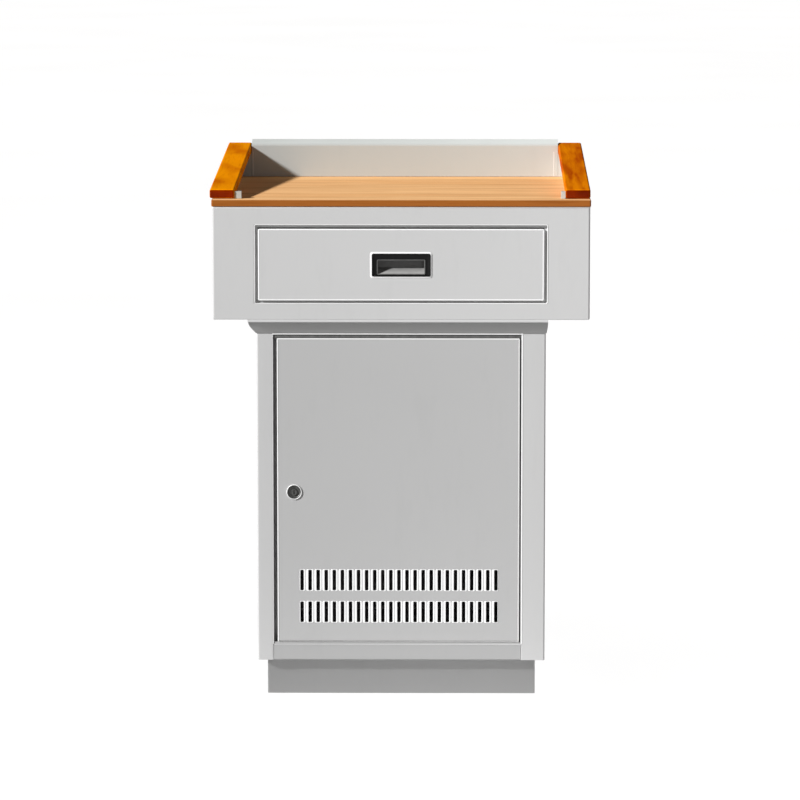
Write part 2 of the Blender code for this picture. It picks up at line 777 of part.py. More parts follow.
def build_gallery_back():
    """The wall along the back edge, between the two armrests."""
    base = WORKTOP_TOP + GAP
    front = GALLERY_BACK_Y
    back = WORKTOP_HALF.y
    front_top = GALLERY_TOP - GALLERY_FRONT_EDGE_DROP
    left = -wall_corner("left") + GAP
    right = wall_corner("right") - GAP
    corners = [(front, base), (front, front_top), (back, GALLERY_TOP), (back, base)]
    add_part("gallery_back_wall", folded(corners, "X", left, right, GALLERY_BEND), "paint")


def build_armrest(sign, word):
    """A wooden bar on the sloping wall, with its nose flat on the worktop."""
    front = ARMREST_FRONT_Y
    back = ARMREST_BACK_Y
    profile = [(front, armrest_underside(front)), (back, armrest_underside(back)),
               (back, armrest_underside(back) + ARMREST_THICKNESS),
               (front, armrest_underside(front) + ARMREST_THICKNESS)]
    bar = prism(profile, "X", *sorted((-sign * ARMREST_WIDTH, 0)))
    along_armrest(bar, sign, word)
    armrest = add_part(f"armrest_{word}", bar, "varnish")
    round_edges(armrest, ARMREST_ROUNDING)


# ---------------------------------------------------------------------------------------------------------
# Drawer and its slides
# ---------------------------------------------------------------------------------------------------------

def slide_section(sign, word, layer, web, reach, half_height, pivot):
    """One channel of a telescopic slide. Web and reach are distances from the slide's wall side."""
    back = SLIDE_FRONT + SLIDE_LENGTH
    web_x = sign * (SLIDE_WALL_X - web)
    edge_x = sign * (SLIDE_WALL_X - reach)
    corners = [(edge_x, SLIDE_Z + half_height), (web_x, SLIDE_Z + half_height),
               (web_x, SLIDE_Z - half_height), (edge_x, SLIDE_Z - half_height)]
    add_part(f"slide_{layer}_{word}", folded(corners, "Y", SLIDE_FRONT, back, SMALL_BEND), "zinc", pivot)


def build_slides(drawer_pivot):
    for sign, word in SIDES:
        middle_pivot = add_pivot(f"slide_middle_{word}_axis", (sign * SLIDE_WALL_X, 0, SLIDE_Z))
        pivots = {"outer": None, "middle": middle_pivot, "inner": drawer_pivot}
        for layer, (web, reach, half_height) in SLIDE_SECTIONS.items():
            slide_section(sign, word, layer, web, reach, half_height, pivots[layer])


def build_drawer_tray(pivot):
    x = TRAY_HALF_WIDTH
    front = PANEL_FRONT + PANEL_DEPTH + GAP
    inside = x - SHEET - GAP
    for sign, word in SIDES:
        corners = [(sign * (x - TRAY_FOLD), TRAY_TOP), (sign * x, TRAY_TOP), (sign * x, TRAY_BOTTOM),
                   (sign * (x - TRAY_FOLD), TRAY_BOTTOM)]
        add_part(f"drawer_{word}_side", folded(corners, "Y", front, TRAY_BACK, SMALL_BEND), "paint", pivot)
    base = TRAY_BOTTOM + SHEET + GAP
    base_top = base + SHEET
    plate_top = TRAY_TOP - SHEET - GAP
    add_part("drawer_base", block((-inside, front, base), (inside, TRAY_BACK, base_top)), "paint", pivot)
    behind_cup = PANEL_FRONT + CUP_DEPTH + CUP_WALL + PLATE_CLEARANCE
    plates = (("drawer_inner_front", behind_cup), ("drawer_back", TRAY_BACK - SHEET))
    for name, start in plates:
        low = (-inside, start, base_top + GAP)
        high = (inside, start + SHEET, plate_top)
        add_part(name, block(low, high), "paint", pivot)


def build_drawer_front(pivot):
    low = (-PANEL_HALF_WIDTH, PANEL_FRONT, PANEL_BOTTOM)
    high = (PANEL_HALF_WIDTH, PANEL_FRONT + PANEL_DEPTH, PANEL_TOP)
    panel = add_part("drawer_front_panel", pan(low, high, (0, 1, 0)), "paint", pivot)
    round_edges(panel, BEND)
    thicken(panel)
    margin = CUP_WALL + GAP
    cut(panel, "pull_hole", block((-CUP_HALF_WIDTH - margin, PANEL_FRONT - PAST, CUP_BOTTOM - margin),
                                  (CUP_HALF_WIDTH + margin, PANEL_FRONT + PAST, CUP_TOP + margin)))


def build_pull(pivot):
    back = PANEL_FRONT - GAP
    front = back - PULL_THICKNESS
    outline = rounded_rectangle((-PULL_HALF_WIDTH, PULL_BOTTOM), (PULL_HALF_WIDTH, PULL_TOP), PULL_CORNER)
    frame = add_part("pull_frame", prism(outline, "Y", front, back), "black_plastic", pivot)
    round_edges(frame, PULL_ROUNDING, 2)
    window = rounded_rectangle((-CUP_HALF_WIDTH, CUP_BOTTOM), (CUP_HALF_WIDTH, CUP_WINDOW_TOP),
                               PULL_WINDOW_CORNER)
    cut(frame, "window", prism(window, "Y", front - PAST, back + PAST))

    cup_back = PANEL_FRONT + CUP_DEPTH
    outer = [(PANEL_FRONT, CUP_BOTTOM - CUP_WALL), (cup_back + CUP_WALL, CUP_LEDGE - CUP_WALL),
             (cup_back + CUP_WALL, CUP_TOP + CUP_WALL), (PANEL_FRONT, CUP_TOP + CUP_WALL)]
    half_width = CUP_HALF_WIDTH + CUP_WALL
    cup = add_part("pull_cup", prism(outer, "X", -half_width, half_width), "cup_metal", pivot)
    ahead = PANEL_FRONT - FAR_PAST
    inner = [(ahead, CUP_BOTTOM), (PANEL_FRONT, CUP_BOTTOM), (cup_back, CUP_LEDGE), (cup_back, CUP_TOP),
             (ahead, CUP_TOP)]
    cut(cup, "finger_hollow", prism(inner, "X", -CUP_HALF_WIDTH, CUP_HALF_WIDTH))


# ---------------------------------------------------------------------------------------------------------
# Door, its pins and its lock
# ---------------------------------------------------------------------------------------------------------

def slot_cutters():
    """All the vent slots, as separate closed shapes in one mesh."""
    slots = bmesh.new()
    carrier = bpy.data.meshes.new("vent_slot")
    for low, high in SLOT_ROWS:
        for i in range(SLOT_COUNT):
            x = SLOT_FIRST_X + i * SLOT_PITCH
            outline = rounded_rectangle((x - SLOT_WIDTH / 2, low), (x + SLOT_WIDTH / 2, high), SLOT_CORNER, 2)
            slot = prism(outline, "Y", DOOR_FRONT - PAST, DOOR_FRONT + PAST)
            slot.to_mesh(carrier)
            slot.free()
            slots.from_mesh(carrier)
    return slots


def build_door_skin(pivot):
    low = (DOOR_LEFT, DOOR_FRONT, DOOR_BOTTOM)
    high = (DOOR_RIGHT, DOOR_FRONT + DOOR_DEPTH, DOOR_TOP)
    skin = add_part("door_skin", pan(low, high, (0, 1, 0)), "paint", pivot)
    round_edges(skin, DOOR_EDGE)
    thicken(skin)
    cut(skin, "vent_slots", slot_cutters())
    drill(skin, "lock_hole", LOCK_BODY_RADIUS + GAP, "Y", DOOR_FRONT - PAST, DOOR_FRONT + PAST,
          (LOCK_X, LOCK_Z))
    for word, edge in (("top", DOOR_TOP), ("bottom", DOOR_BOTTOM)):
        drill(skin, f"{word}_pin_hole", PIN_HOLE_RADIUS, "Z", edge - PAST, edge + PAST, DOOR_PIVOT.xy)


def build_door_stiffener(pivot):
    """A hat channel behind the skin, above the vent slots."""
    middle = (DOOR_LEFT + DOOR_RIGHT) / 2
    foot_y = DOOR_FRONT + SHEET + GAP + SHEET
    crown_y = DOOR_FRONT + DOOR_DEPTH - BEND
    foot = STIFFENER_HALF_WIDTH
    crown = STIFFENER_CROWN_HALF_WIDTH
    corners = [(middle - foot, foot_y), (middle - crown, foot_y), (middle - crown, crown_y),
               (middle + crown, crown_y), (middle + crown, foot_y), (middle + foot, foot_y)]
    add_part("door_stiffener", folded(corners, "Z", STIFFENER_BOTTOM, STIFFENER_TOP, SMALL_BEND), "paint",
             pivot)


def build_hinge_pins():
    """The top pin hangs in the top rail's lip. The bottom pin has a shoulder that carries the door."""
    head = CABINET_TOP - TOP_RAIL + SHEET + GAP
    head_top = head + PIN_HEAD_HEIGHT
    tip = DOOR_TOP - PIN_REACH
    top = [(0, head_top), (PIN_HEAD_RADIUS, head_top), (PIN_HEAD_RADIUS, head), (PIN_RADIUS, head),
           (PIN_RADIUS, tip), (0, tip)]
    add_turned("hinge_pin_top", top, "Z", DOOR_PIVOT.xy, "zinc")

    rail_top = CABINET_BOTTOM + BOTTOM_RAIL
    shoulder = DOOR_BOTTOM - GAP
    tip = DOOR_BOTTOM + PIN_REACH
    foot = rail_top - PIN_FOOT
    bottom = [(0, tip), (PIN_RADIUS, tip), (PIN_RADIUS, shoulder), (PIN_HEAD_RADIUS, shoulder),
              (PIN_HEAD_RADIUS, rail_top + GAP), (PIN_RADIUS, rail_top + GAP), (PIN_RADIUS, foot), (0, foot)]
    add_turned("hinge_pin_bottom", bottom, "Z", DOOR_PIVOT.xy, "zinc")


def build_lock(door_pivot, lock_pivot):
    centre = (LOCK_X, LOCK_Z)
    face_back = DOOR_FRONT - GAP
    face_front = face_back - LOCK_FACE_THICKNESS
    rear = DOOR_FRONT + LOCK_BODY_LENGTH
    chamfer = LOCK_CHAMFER
    barrel = [(LOCK_BODY_RADIUS, rear), (LOCK_BODY_RADIUS, face_back), (LOCK_FACE_RADIUS, face_back),
              (LOCK_FACE_RADIUS, face_front + chamfer), (LOCK_FACE_RADIUS - chamfer, face_front),
              (LOCK_BORE_RADIUS, face_front), (LOCK_BORE_RADIUS, rear)]
    add_turned("lock_barrel", barrel, "Y", centre, "lock_metal", door_pivot, ring=True)

    nut_front = DOOR_FRONT + SHEET + GAP
    nut_back = nut_front + LOCK_NUT_THICKNESS
    flats = circle_outline(centre, LOCK_NUT_RADIUS, steps=6)
    nut = add_part("lock_nut", prism(flats, "Y", nut_front, nut_back), "zinc", door_pivot)
    drill(nut, "bore", LOCK_BODY_RADIUS + GAP, "Y", nut_front - PAST, nut_back + PAST, centre)

    plug_rear = rear + PLUG_PROUD
    plug_front = face_front + GAP
    plug_profile = [(0, plug_rear), (PLUG_RADIUS, plug_rear), (PLUG_RADIUS, plug_front + chamfer),
                    (PLUG_RADIUS - chamfer, plug_front), (0, plug_front)]
    plug = add_turned("lock_plug", plug_profile, "Y", centre, "lock_metal", lock_pivot)
    cut(plug, "keyway", block((LOCK_X - KEYWAY_HALF_WIDTH, plug_front - PAST, LOCK_Z - KEYWAY_HALF_HEIGHT),
                              (LOCK_X + KEYWAY_HALF_WIDTH, plug_front + KEYWAY_DEPTH,
                               LOCK_Z + KEYWAY_HALF_HEIGHT)))
    screw_hole = CAM_SCREW_RADIUS + GAP
    screw_tip = plug_rear - CAM_SCREW_REACH
    drill(plug, "screw_hole", screw_hole, "Y", screw_tip - SHEET, plug_rear + PAST, centre)

    cam_front = plug_rear + GAP
    cam_back = cam_front + CAM_THICKNESS
    tip = (LOCK_X, LOCK_Z + CAM_REACH)
    outline = circle_outline(centre, CAM_HALF_WIDTH, 180, 360, 12)
    outline += circle_outline(tip, CAM_HALF_WIDTH, 0, 180, 12)
    cam = add_part("lock_cam", prism(outline, "Y", cam_front, cam_back), "zinc", lock_pivot)
    drill(cam, "screw_hole", screw_hole, "Y", cam_front - PAST, cam_back + PAST, centre)

    head = cam_back + GAP
    head_back = head + CAM_SCREW_HEAD_HEIGHT
    screw = [(0, head_back), (CAM_SCREW_HEAD_RADIUS, head_back), (CAM_SCREW_HEAD_RADIUS, head),
             (CAM_SCREW_RADIUS, head), (CAM_SCREW_RADIUS, screw_tip), (0, screw_tip)]
    add_turned("lock_cam_screw", screw, "Y", centre, "zinc", lock_pivot)


# ---------------------------------------------------------------------------------------------------------
# The whole counter
# ---------------------------------------------------------------------------------------------------------

def build_counter():
    build_plinth()
    build_cabinet_sides()
    build_rails()
    build_cabinet_panels()
    build_collar()
    build_shelf()
    build_box()
    build_joining_bolts()
    build_runner_brackets()
    build_worktop()
    for sign, word in SIDES:
        build_gallery_side(sign, word)
        build_armrest(sign, word)
    build_gallery_back()

    drawer_pivot = add_pivot("drawer_axis", (0, 0, SLIDE_Z))
    build_slides(drawer_pivot)
    build_drawer_tray(drawer_pivot)
    build_drawer_front(drawer_pivot)
    build_pull(drawer_pivot)

    door_pivot = add_pivot("door_axis", (DOOR_PIVOT.x, DOOR_PIVOT.y, LOCK_Z))
    lock_pivot = add_pivot("lock_axis", (LOCK_X, DOOR_FRONT, LOCK_Z))
    place(lock_pivot, lock_pivot.location.copy(), door_pivot)
    build_door_skin(door_pivot)
    build_door_stiffener(door_pivot)
    build_hinge_pins()
    build_lock(door_pivot, lock_pivot)


build_counter()
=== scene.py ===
"""Looks of the checkout counter: finishes, detailed pieces, camera, light and floor.

Lengths are in metres and angles in degrees."""

import math

import bmesh
import bpy
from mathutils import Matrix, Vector


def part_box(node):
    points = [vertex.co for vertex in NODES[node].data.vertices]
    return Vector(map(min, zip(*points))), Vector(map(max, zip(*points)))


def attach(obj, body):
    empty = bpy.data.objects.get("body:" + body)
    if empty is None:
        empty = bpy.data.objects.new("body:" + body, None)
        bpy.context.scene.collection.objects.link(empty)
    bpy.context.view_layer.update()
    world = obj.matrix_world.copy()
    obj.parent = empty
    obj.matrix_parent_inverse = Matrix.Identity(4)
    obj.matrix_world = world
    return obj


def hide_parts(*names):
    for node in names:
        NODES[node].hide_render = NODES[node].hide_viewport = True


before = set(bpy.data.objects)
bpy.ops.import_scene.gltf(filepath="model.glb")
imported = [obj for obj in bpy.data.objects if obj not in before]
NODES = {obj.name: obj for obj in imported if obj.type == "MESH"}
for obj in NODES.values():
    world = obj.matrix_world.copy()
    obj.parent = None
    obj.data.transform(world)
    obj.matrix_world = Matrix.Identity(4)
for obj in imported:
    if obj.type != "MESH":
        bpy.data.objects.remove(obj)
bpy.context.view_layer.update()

# Bodies that the pieces ride on
CARCASS = "carcass"
DRAWER = "drawer"
DOOR = "door"

# Camera
CAMERA_PLACE = (0.0578, -7.0716, 1.3789)
CAMERA_PITCH = 7.49
CAMERA_YAW = 0.50
CAMERA_LENS = 194.97
CAMERA_REACH = 200.0

# Suns: azimuth 0 is from the left and 90 from the front, and elevation -90 is from below
KEY = {"strength": 5.95, "softness": 5.0, "elevation": 27.0, "azimuth": 30.0}
SHADED_KEY = {**KEY, "strength": 1.3}
BOUNCE = {"strength": 1.5, "softness": 150.0, "elevation": -90.0, "azimuth": 90.0}
BACK_FILL = {"strength": 0.2, "softness": 40.0, "elevation": 25.0, "azimuth": 215.0}
RIGHT_FILL = {"strength": 0.3, "softness": 60.0, "elevation": 12.0, "azimuth": 165.0}
FRONT_FILL = {"strength": 0.16, "softness": 40.0, "elevation": 2.0, "azimuth": 100.0}
CONTACT_LIGHT = {"strength": 0.75, "softness": 80.0, "elevation": 90.0, "azimuth": 0.0}
FLOOR_LIGHT = {"strength": 2.75, "softness": 5.0, "elevation": 90.0, "azimuth": 0.0}
WORLD_COLOUR = (1.0, 0.93, 0.86)
WORLD_STRENGTH = 0.05

# Floor: half the sides of its near and far parts
NEAR_FLOOR = 0.34
FAR_FLOOR = 60.0

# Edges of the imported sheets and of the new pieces
WELD_DISTANCE = 0.00001
FLAT_ANGLE = 0.5
EDGE_ROUNDING = 0.0003
SHARP_ANGLE = 50.0

# The narrow gap between two pieces that touch on the real object
GAP = 0.0003

# Painted light by place: lighter to the right over the counter's width, a painted highlight over the
# gallery's top edge and painted shade up the pull's cup
COUNTER_HALF_WIDTH = 0.3
GALLERY_HIGHLIGHT_HEIGHTS = (0.854, 0.856)
CUP_SHADE_HEIGHTS = (0.683, 0.694)

# Worktop
EDGING = 0.0012
BOARD_CORNER = 0.0015
EDGING_CORNER = 0.0027
EDGING_ROUNDING = 0.0006

# Armrests
ARMREST_THICKNESS = 0.0147
ARMREST_WIDTH = 0.0395
NOSE_RADIUS = 0.0045
TAIL_RADIUS = 0.003
ARMREST_ROUNDING = 0.0044
NOSE_FACING = -0.75

# Drawer pull
CUP_WALL = 0.001
WINDOW_LIFT = 0.0002
WINDOW_TOP_BAR = 0.0107
WINDOW_RIM = 0.0017
WINDOW_RIM_HEIGHT = 0.0012
PULL_RIM = 0.0012
DISH_SLOPE = 0.0012
DISH_FLOOR = 0.0004
SURROUND_WIDTH = 0.0028
SURROUND_CREST = 0.7
SURROUND_HEIGHT = 0.0010
SURROUND_CORNER = 0.004
SURROUND_INNER_CORNER = 0.0026
SURROUND_FOOT = 0.0001

# Beads round the panels and the openings
BEAD_HEIGHT = 0.0003
BEAD_DEPTH = 0.0016
BEAD_ROUND = 0.0004
BEAD_FOOT = 0.0002
BEAD_CORNER = 0.0018
SMALLEST_CORNER = 0.0004
DOOR_BEAD = 0.0021
DOOR_BEAD_BOTTOM_SHARE = 0.12
DRAWER_BEAD = 0.0022
OPENING_BEAD = 0.0015
# The opening's bead stands back on the hinge side, where the opened door comes closest to it
HINGE_SIDE_STEP = 0.0016

# The openings' corners: x and z of the lower left and of the upper right
DOOR_OPENING = ((-0.204, 0.084), (0.191, 0.584))
DRAWER_OPENING = ((-0.231, 0.6364), (0.231, 0.7602))

# Vent slots, with the bottom and top of each row; the crest is a part of the rim's width
SLOT_ROWS = ((0.1196, 0.1533), (0.1712, 0.2047))
SLOT_COUNT = 25
SLOT_PITCH = 0.01294
SLOT_WIDTH = 0.0057
SLOT_FIRST_X = -0.1588
SLOT_CORNER = 0.0015
SLOT_RIM = 0.0034
SLOT_RIM_END = 0.0009
SLOT_RIM_HEIGHT = 0.0003
SLOT_RIM_ROOT = 0.0006
SLOT_RIM_EDGE = 0.0001
SLOT_RIM_CREST = (0.07, 0.8)

# Rim round the top of the box
BOX_RIM_HEIGHT = 0.0034
BOX_RIM_PROUD = 0.00025
BOX_RIM_ROOT = 0.0003
BOX_RIM_SLOPE = 0.0004
BOX_CORNER = 0.0025

# Lip under the box's front edge
LIP_SETBACK = 0.0006
LIP_DROP = 0.0042
LIP_DEPTH = 0.0014
LIP_ROOT = 0.0008
LIP_ROUND = 0.0006

# Creases of the gallery's back wall, with their half widths from root to crest
CREASE_X = 0.2535
CREASE_TOP = 0.8425
CREASE_LIFT = 0.0005
CREASE_ROOT = 0.0004
CREASE_PROUD = 0.0002
CREASE_HALF_WIDTHS = (0.0007, 0.0005, 0.0003)

# Strip in the gap over the door, standing for its shade, and the edge over it painted bright as a highlight
HEAD_SETBACK = 0.0015
HEAD_BOTTOM = 0.5787
HEAD_THICKNESS = 0.0012
HEAD_LAP = 0.0004
HEAD_EDGE = 0.0021
HEAD_EDGE_PROUD = 0.0005
HEAD_EDGE_ROOT = 0.0008

# Sill under the door
SILL_HEIGHT = 0.0034
SILL_SETBACK = 0.0004
SILL_DEPTH = 0.0086
SILL_ROOT = 0.001
SILL_END_GAP = 0.0002

# Weld seams of the bottom rail; the crest is a part of their half width
SEAM_HALF_WIDTH = 0.0007
SEAM_CREST = 0.6
SEAM_PROUD = 0.00012
SEAM_ROOT = 0.001
SEAM_LIFT = 0.0004

# Lock
LOCK_RIM_RADIUS = 0.0123
LOCK_RIM_WIDTH = 0.0015
LOCK_RIM_CREST = 0.0003
LOCK_DISH_DEPTH = 0.0020
LOCK_DISH_SLOPE = 0.0020
LOCK_BODY_SHARE = 0.8
LOCK_STEPS = 48


# ---------------------------------------------------------------------------------------------------------
# Materials
# ---------------------------------------------------------------------------------------------------------

class Graph:
    """A material under construction: its nodes are added and linked through this."""

    def __init__(self, name):
        self.material = bpy.data.materials.new(name)
        self.material.use_nodes = True
        self.tree = self.material.node_tree
        self.shader = self.tree.nodes["Principled BSDF"]
        self.coordinates = self.tree.nodes.new("ShaderNodeTexCoord").outputs["Object"]

    def set(self, **values):
        """Set constants on the shader's own sockets; an underscore stands for a space."""
        for socket, value in values.items():
            self.shader.inputs[socket.replace("_", " ")].default_value = value

    def link(self, output, socket):
        self.tree.links.new(output, socket)

    def noise(self, scale, detail=2.0, roughness=0.5, distortion=0.0):
        """Noise at the given number of cells per metre along each axis."""
        mapping = self.tree.nodes.new("ShaderNodeMapping")
        mapping.inputs["Scale"].default_value = scale
        self.link(self.coordinates, mapping.inputs["Vector"])
        noise = self.tree.nodes.new("ShaderNodeTexNoise")
        noise.inputs["Scale"].default_value = 1.0
        noise.inputs["Detail"].default_value = detail
        noise.inputs["Roughness"].default_value = roughness
        noise.inputs["Distortion"].default_value = distortion
        self.link(mapping.outputs["Vector"], noise.inputs["Vector"])
        return noise.outputs["Fac"]

    def place_along(self, axis):
        """The place along one axis."""
        node = self.tree.nodes.new("ShaderNodeSeparateXYZ")
        self.link(self.coordinates, node.inputs["Vector"])
        return node.outputs[axis]

    def ranged(self, value, low, high, to_low, to_high):
        """A value carried from one range to another, and held at the ends."""
        node = self.tree.nodes.new("ShaderNodeMapRange")
        node.inputs["From Min"].default_value = low
        node.inputs["From Max"].default_value = high
        node.inputs["To Min"].default_value = to_low
        node.inputs["To Max"].default_value = to_high
        self.link(value, node.inputs["Value"])
        return node.outputs["Result"]

    def ramp(self, value, *stops):
        """A colour ramp; each stop is (position, colour)."""
        node = self.tree.nodes.new("ShaderNodeValToRGB")
        elements = node.color_ramp.elements
        while len(elements) < len(stops):
            elements.new(0.5)
        for element, (position, colour) in zip(elements, stops):
            element.position = position
            element.color = (*colour, 1.0)
        self.link(value, node.inputs["Fac"])
        return node.outputs["Color"]

    def multiplied(self, first, second, share=1.0):
        """The first output multiplied by the second, to the given share of the effect."""
        node = self.tree.nodes.new("ShaderNodeMix")
        node.data_type = "RGBA"
        node.blend_type = "MULTIPLY"
        inputs = {socket.identifier: socket for socket in node.inputs}
        inputs["Factor_Float"].default_value = share
        self.link(first, inputs["A_Color"])
        self.link(second, inputs["B_Color"])
        return next(socket for socket in node.outputs if socket.identifier == "Result_Color")

    def bump(self, height, strength, distance):
        node = self.tree.nodes.new("ShaderNodeBump")
        node.inputs["Strength"].default_value = strength
        node.inputs["Distance"].default_value = distance
        self.link(height, node.inputs["Height"])
        self.link(node.outputs["Normal"], self.shader.inputs["Normal"])

    def colour(self, output):
        self.link(output, self.shader.inputs["Base Color"])

    def roughness(self, output):
        self.link(output, self.shader.inputs["Roughness"])


def grey(value):
    return (value, value, value)


def scaled(colour, factor):
    return tuple(channel * factor for channel in colour)


def paint(name, colour, painted_light_lean=0.05, painted_crown_highlight=1.0):
    """Satin powder coat: slow tone drift, faint handling marks and a fine orange peel.

    It also carries painted light: a share by which it gets lighter to the right, and a factor that lightens
    a gallery's top face as a painted highlight."""
    g = Graph(name)
    drift = g.noise((2.5, 2.5, 2.5), detail=3)
    tone = g.ramp(drift, (0.30, scaled(colour, 0.985)), (0.70, scaled(colour, 1.015)))
    marks = g.noise((38, 38, 9), detail=6, roughness=0.7)
    mark_tone = g.ramp(marks, (0.34, grey(0.982)), (0.46, grey(1.0)))
    # Painted light: lighter to the right, and a painted highlight on the gallery's top face
    sideways = g.ranged(g.place_along("X"), -COUNTER_HALF_WIDTH, COUNTER_HALF_WIDTH, 1 - painted_light_lean, 1 + painted_light_lean)
    upwards = g.ranged(g.place_along("Z"), *GALLERY_HIGHLIGHT_HEIGHTS, 1.0, painted_crown_highlight)
    g.colour(g.multiplied(g.multiplied(g.multiplied(tone, mark_tone), sideways), upwards))
    g.roughness(g.ranged(g.noise((14, 14, 14), detail=4), 0.3, 0.7, 0.36, 0.48))
    g.bump(g.noise((650, 650, 650), detail=1.5), 0.16, 0.0002)
    g.set(Specular_IOR_Level=0.45)
    return g.material


def board_wood(name, light, dark):
    """Straight-grained veneer under satin lacquer, with its grain across the counter."""
    g = Graph(name)
    planks = g.noise((0.9, 13, 13), detail=3, roughness=0.55, distortion=0.25)
    tone = g.ramp(planks, (0.32, dark), (0.47, scaled(light, 0.92)), (0.62, light),
                  (0.74, scaled(light, 0.86)))
    figure = g.noise((3.0, 95, 95), detail=5, roughness=0.62, distortion=0.4)
    figure_tone = g.ramp(figure, (0.36, (0.74, 0.66, 0.58)), (0.50, grey(1.0)), (0.75, (1.0, 0.97, 0.93)))
    fibres = g.noise((14, 820, 820), detail=2)
    fibre_tone = g.ramp(fibres, (0.32, (0.84, 0.79, 0.74)), (0.52, grey(1.0)))
    g.colour(g.multiplied(g.multiplied(tone, figure_tone, 0.85), fibre_tone, 0.8))
    g.roughness(g.ranged(figure, 0.3, 0.7, 0.46, 0.34))
    g.bump(fibres, 0.25, 0.00012)
    g.set(Specular_IOR_Level=0.0, Coat_Weight=0.04, Coat_Roughness=0.35)
    return g.material


def varnished_wood(name, dark, light, pool_scale=(26, 8, 26)):
    """Wood with its grain along the bar, under a gloss varnish that pools darker in places."""
    g = Graph(name)
    middle = tuple((low + high) / 2 for low, high in zip(dark, light))
    pools = g.noise(pool_scale, detail=2, roughness=0.4, distortion=0.5)
    tone = g.ramp(pools, (0.33, dark), (0.45, middle), (0.58, light), (0.75, scaled(light, 1.06)))
    grain = g.noise((260, 5, 260), detail=5, roughness=0.6, distortion=0.35)
    grain_tone = g.ramp(grain, (0.34, (0.84, 0.74, 0.62)), (0.50, grey(1.0)), (0.70, (1.0, 0.97, 0.92)))
    g.colour(g.multiplied(tone, grain_tone, 0.7))
    g.roughness(g.ranged(grain, 0.3, 0.7, 0.26, 0.18))
    g.bump(g.noise((30, 10, 30), detail=2), 0.10, 0.0005)
    g.set(Specular_IOR_Level=0.0, Coat_Weight=0.05, Coat_Roughness=0.12)
    return g.material


def zinc(name, colour):
    """Zinc-plated steel: drawn streaks from front to back, and cloudy spangle."""
    g = Graph(name)
    streaks = g.noise((420, 7, 420), detail=3)
    cloud = g.noise((55, 55, 55), detail=3)
    tone = g.ramp(cloud, (0.3, scaled(colour, 0.85)), (0.7, scaled(colour, 1.08)))
    streak_tone = g.ramp(streaks, (0.3, grey(0.85)), (0.6, grey(1.0)))
    g.colour(g.multiplied(tone, streak_tone))
    g.roughness(g.ranged(streaks, 0.3, 0.7, 0.26, 0.42))
    g.bump(streaks, 0.1, 0.0001)
    g.set(Metallic=1.0)
    return g.material


def moulded_plastic(name, colour, roughness, specular):
    """Moulded plastic with a fine spark-eroded grain and faint dust."""
    g = Graph(name)
    dust = g.noise((120, 120, 120), detail=4)
    g.colour(g.ramp(dust, (0.35, colour), (0.8, scaled(colour, 1.6))))
    g.roughness(g.ranged(g.noise((60, 60, 60), detail=3), 0.3, 0.7, roughness - 0.05, roughness + 0.08))
    g.bump(g.noise((1500, 1500, 1500), detail=1), 0.2, 0.0001)
    g.set(Specular_IOR_Level=specular)
    return g.material


def painted_shade_plastic(name, colour, top_share, heights):
    """Moulded plastic with painted shade: it darkens upwards between the two heights, to a share of its
    colour, for the shadow under the cup's top edge.
    """
    g = Graph(name)
    dust = g.noise((120, 120, 120), detail=4)
    tone = g.ramp(dust, (0.35, colour), (0.8, scaled(colour, 1.2)))
    g.colour(g.multiplied(tone, g.ranged(g.place_along("Z"), *heights, 1.0, top_share)))
    g.bump(g.noise((1500, 1500, 1500), detail=1), 0.2, 0.0001)
    g.set(Roughness=0.42, Specular_IOR_Level=0.35)
    return g.material


def worn_metal(name, colour, roughness):
    """Plated metal with fine scratches and a dulled surface."""
    g = Graph(name)
    scratches = g.noise((900, 900, 60), detail=4, distortion=0.5)
    cloud = g.noise((260, 260, 260), detail=3)
    tone = g.ramp(cloud, (0.3, scaled(colour, 0.7)), (0.7, scaled(colour, 1.1)))
    g.colour(g.multiplied(tone, g.ramp(scratches, (0.3, grey(0.8)), (0.55, grey(1.0)))))
    g.roughness(g.ranged(scratches, 0.3, 0.7, roughness + 0.1, roughness - 0.05))
    g.bump(scratches, 0.15, 0.0001)
    g.set(Metallic=0.5)
    return g.material


PAINT_COLOUR = grey(0.535)
# Lit and shaded copies of one grey coat: each part's tone is painted shade or light for how the light falls
# on that part
PAINT_SHADE_TONES = {"box": 1.0, "collar": 0.88, "cabinet": 0.93, "door": 0.80, "rail": 0.70, "plinth": 0.80}

PAINT = {key: paint(f"paint_{key}", scaled(PAINT_COLOUR, tone)) for key, tone in PAINT_SHADE_TONES.items()}
# The gallery's copy of the coat is darker and tinted as painted shade for the light inside the gallery, with
# more painted light to the right and a painted highlight on its top face
PAINT["gallery"] = paint("paint_gallery", (0.468, 0.486, 0.472), painted_light_lean=0.15, painted_crown_highlight=1.42)
# Lighter copies of the coat for rims, beads and trims: their lightness is a painted highlight along edges
HIGHLIGHT_RIM_PAINT = paint("painted_highlight_rim", scaled(PAINT_COLOUR, 1.16))
HIGHLIGHT_EDGE_PAINT = paint("painted_highlight_edge", (0.74, 0.74, 0.735))
HIGHLIGHT_TRIM_PAINT = paint("painted_highlight_trim", grey(0.86))
BOARD = board_wood("board_veneer", (0.95, 0.56, 0.262), (0.86, 0.475, 0.205))
BOARD_EDGE = board_wood("board_edging", (0.37, 0.122, 0.024), (0.27, 0.085, 0.015))
VARNISH = {"left": varnished_wood("amber_varnish_left", (0.53, 0.120, 0.0004), (0.78, 0.258, 0.0005)),
           "right": varnished_wood("amber_varnish_right", (0.42, 0.070, 0.0004), (0.68, 0.190, 0.0005),
                                   pool_scale=(62, 5, 62))}
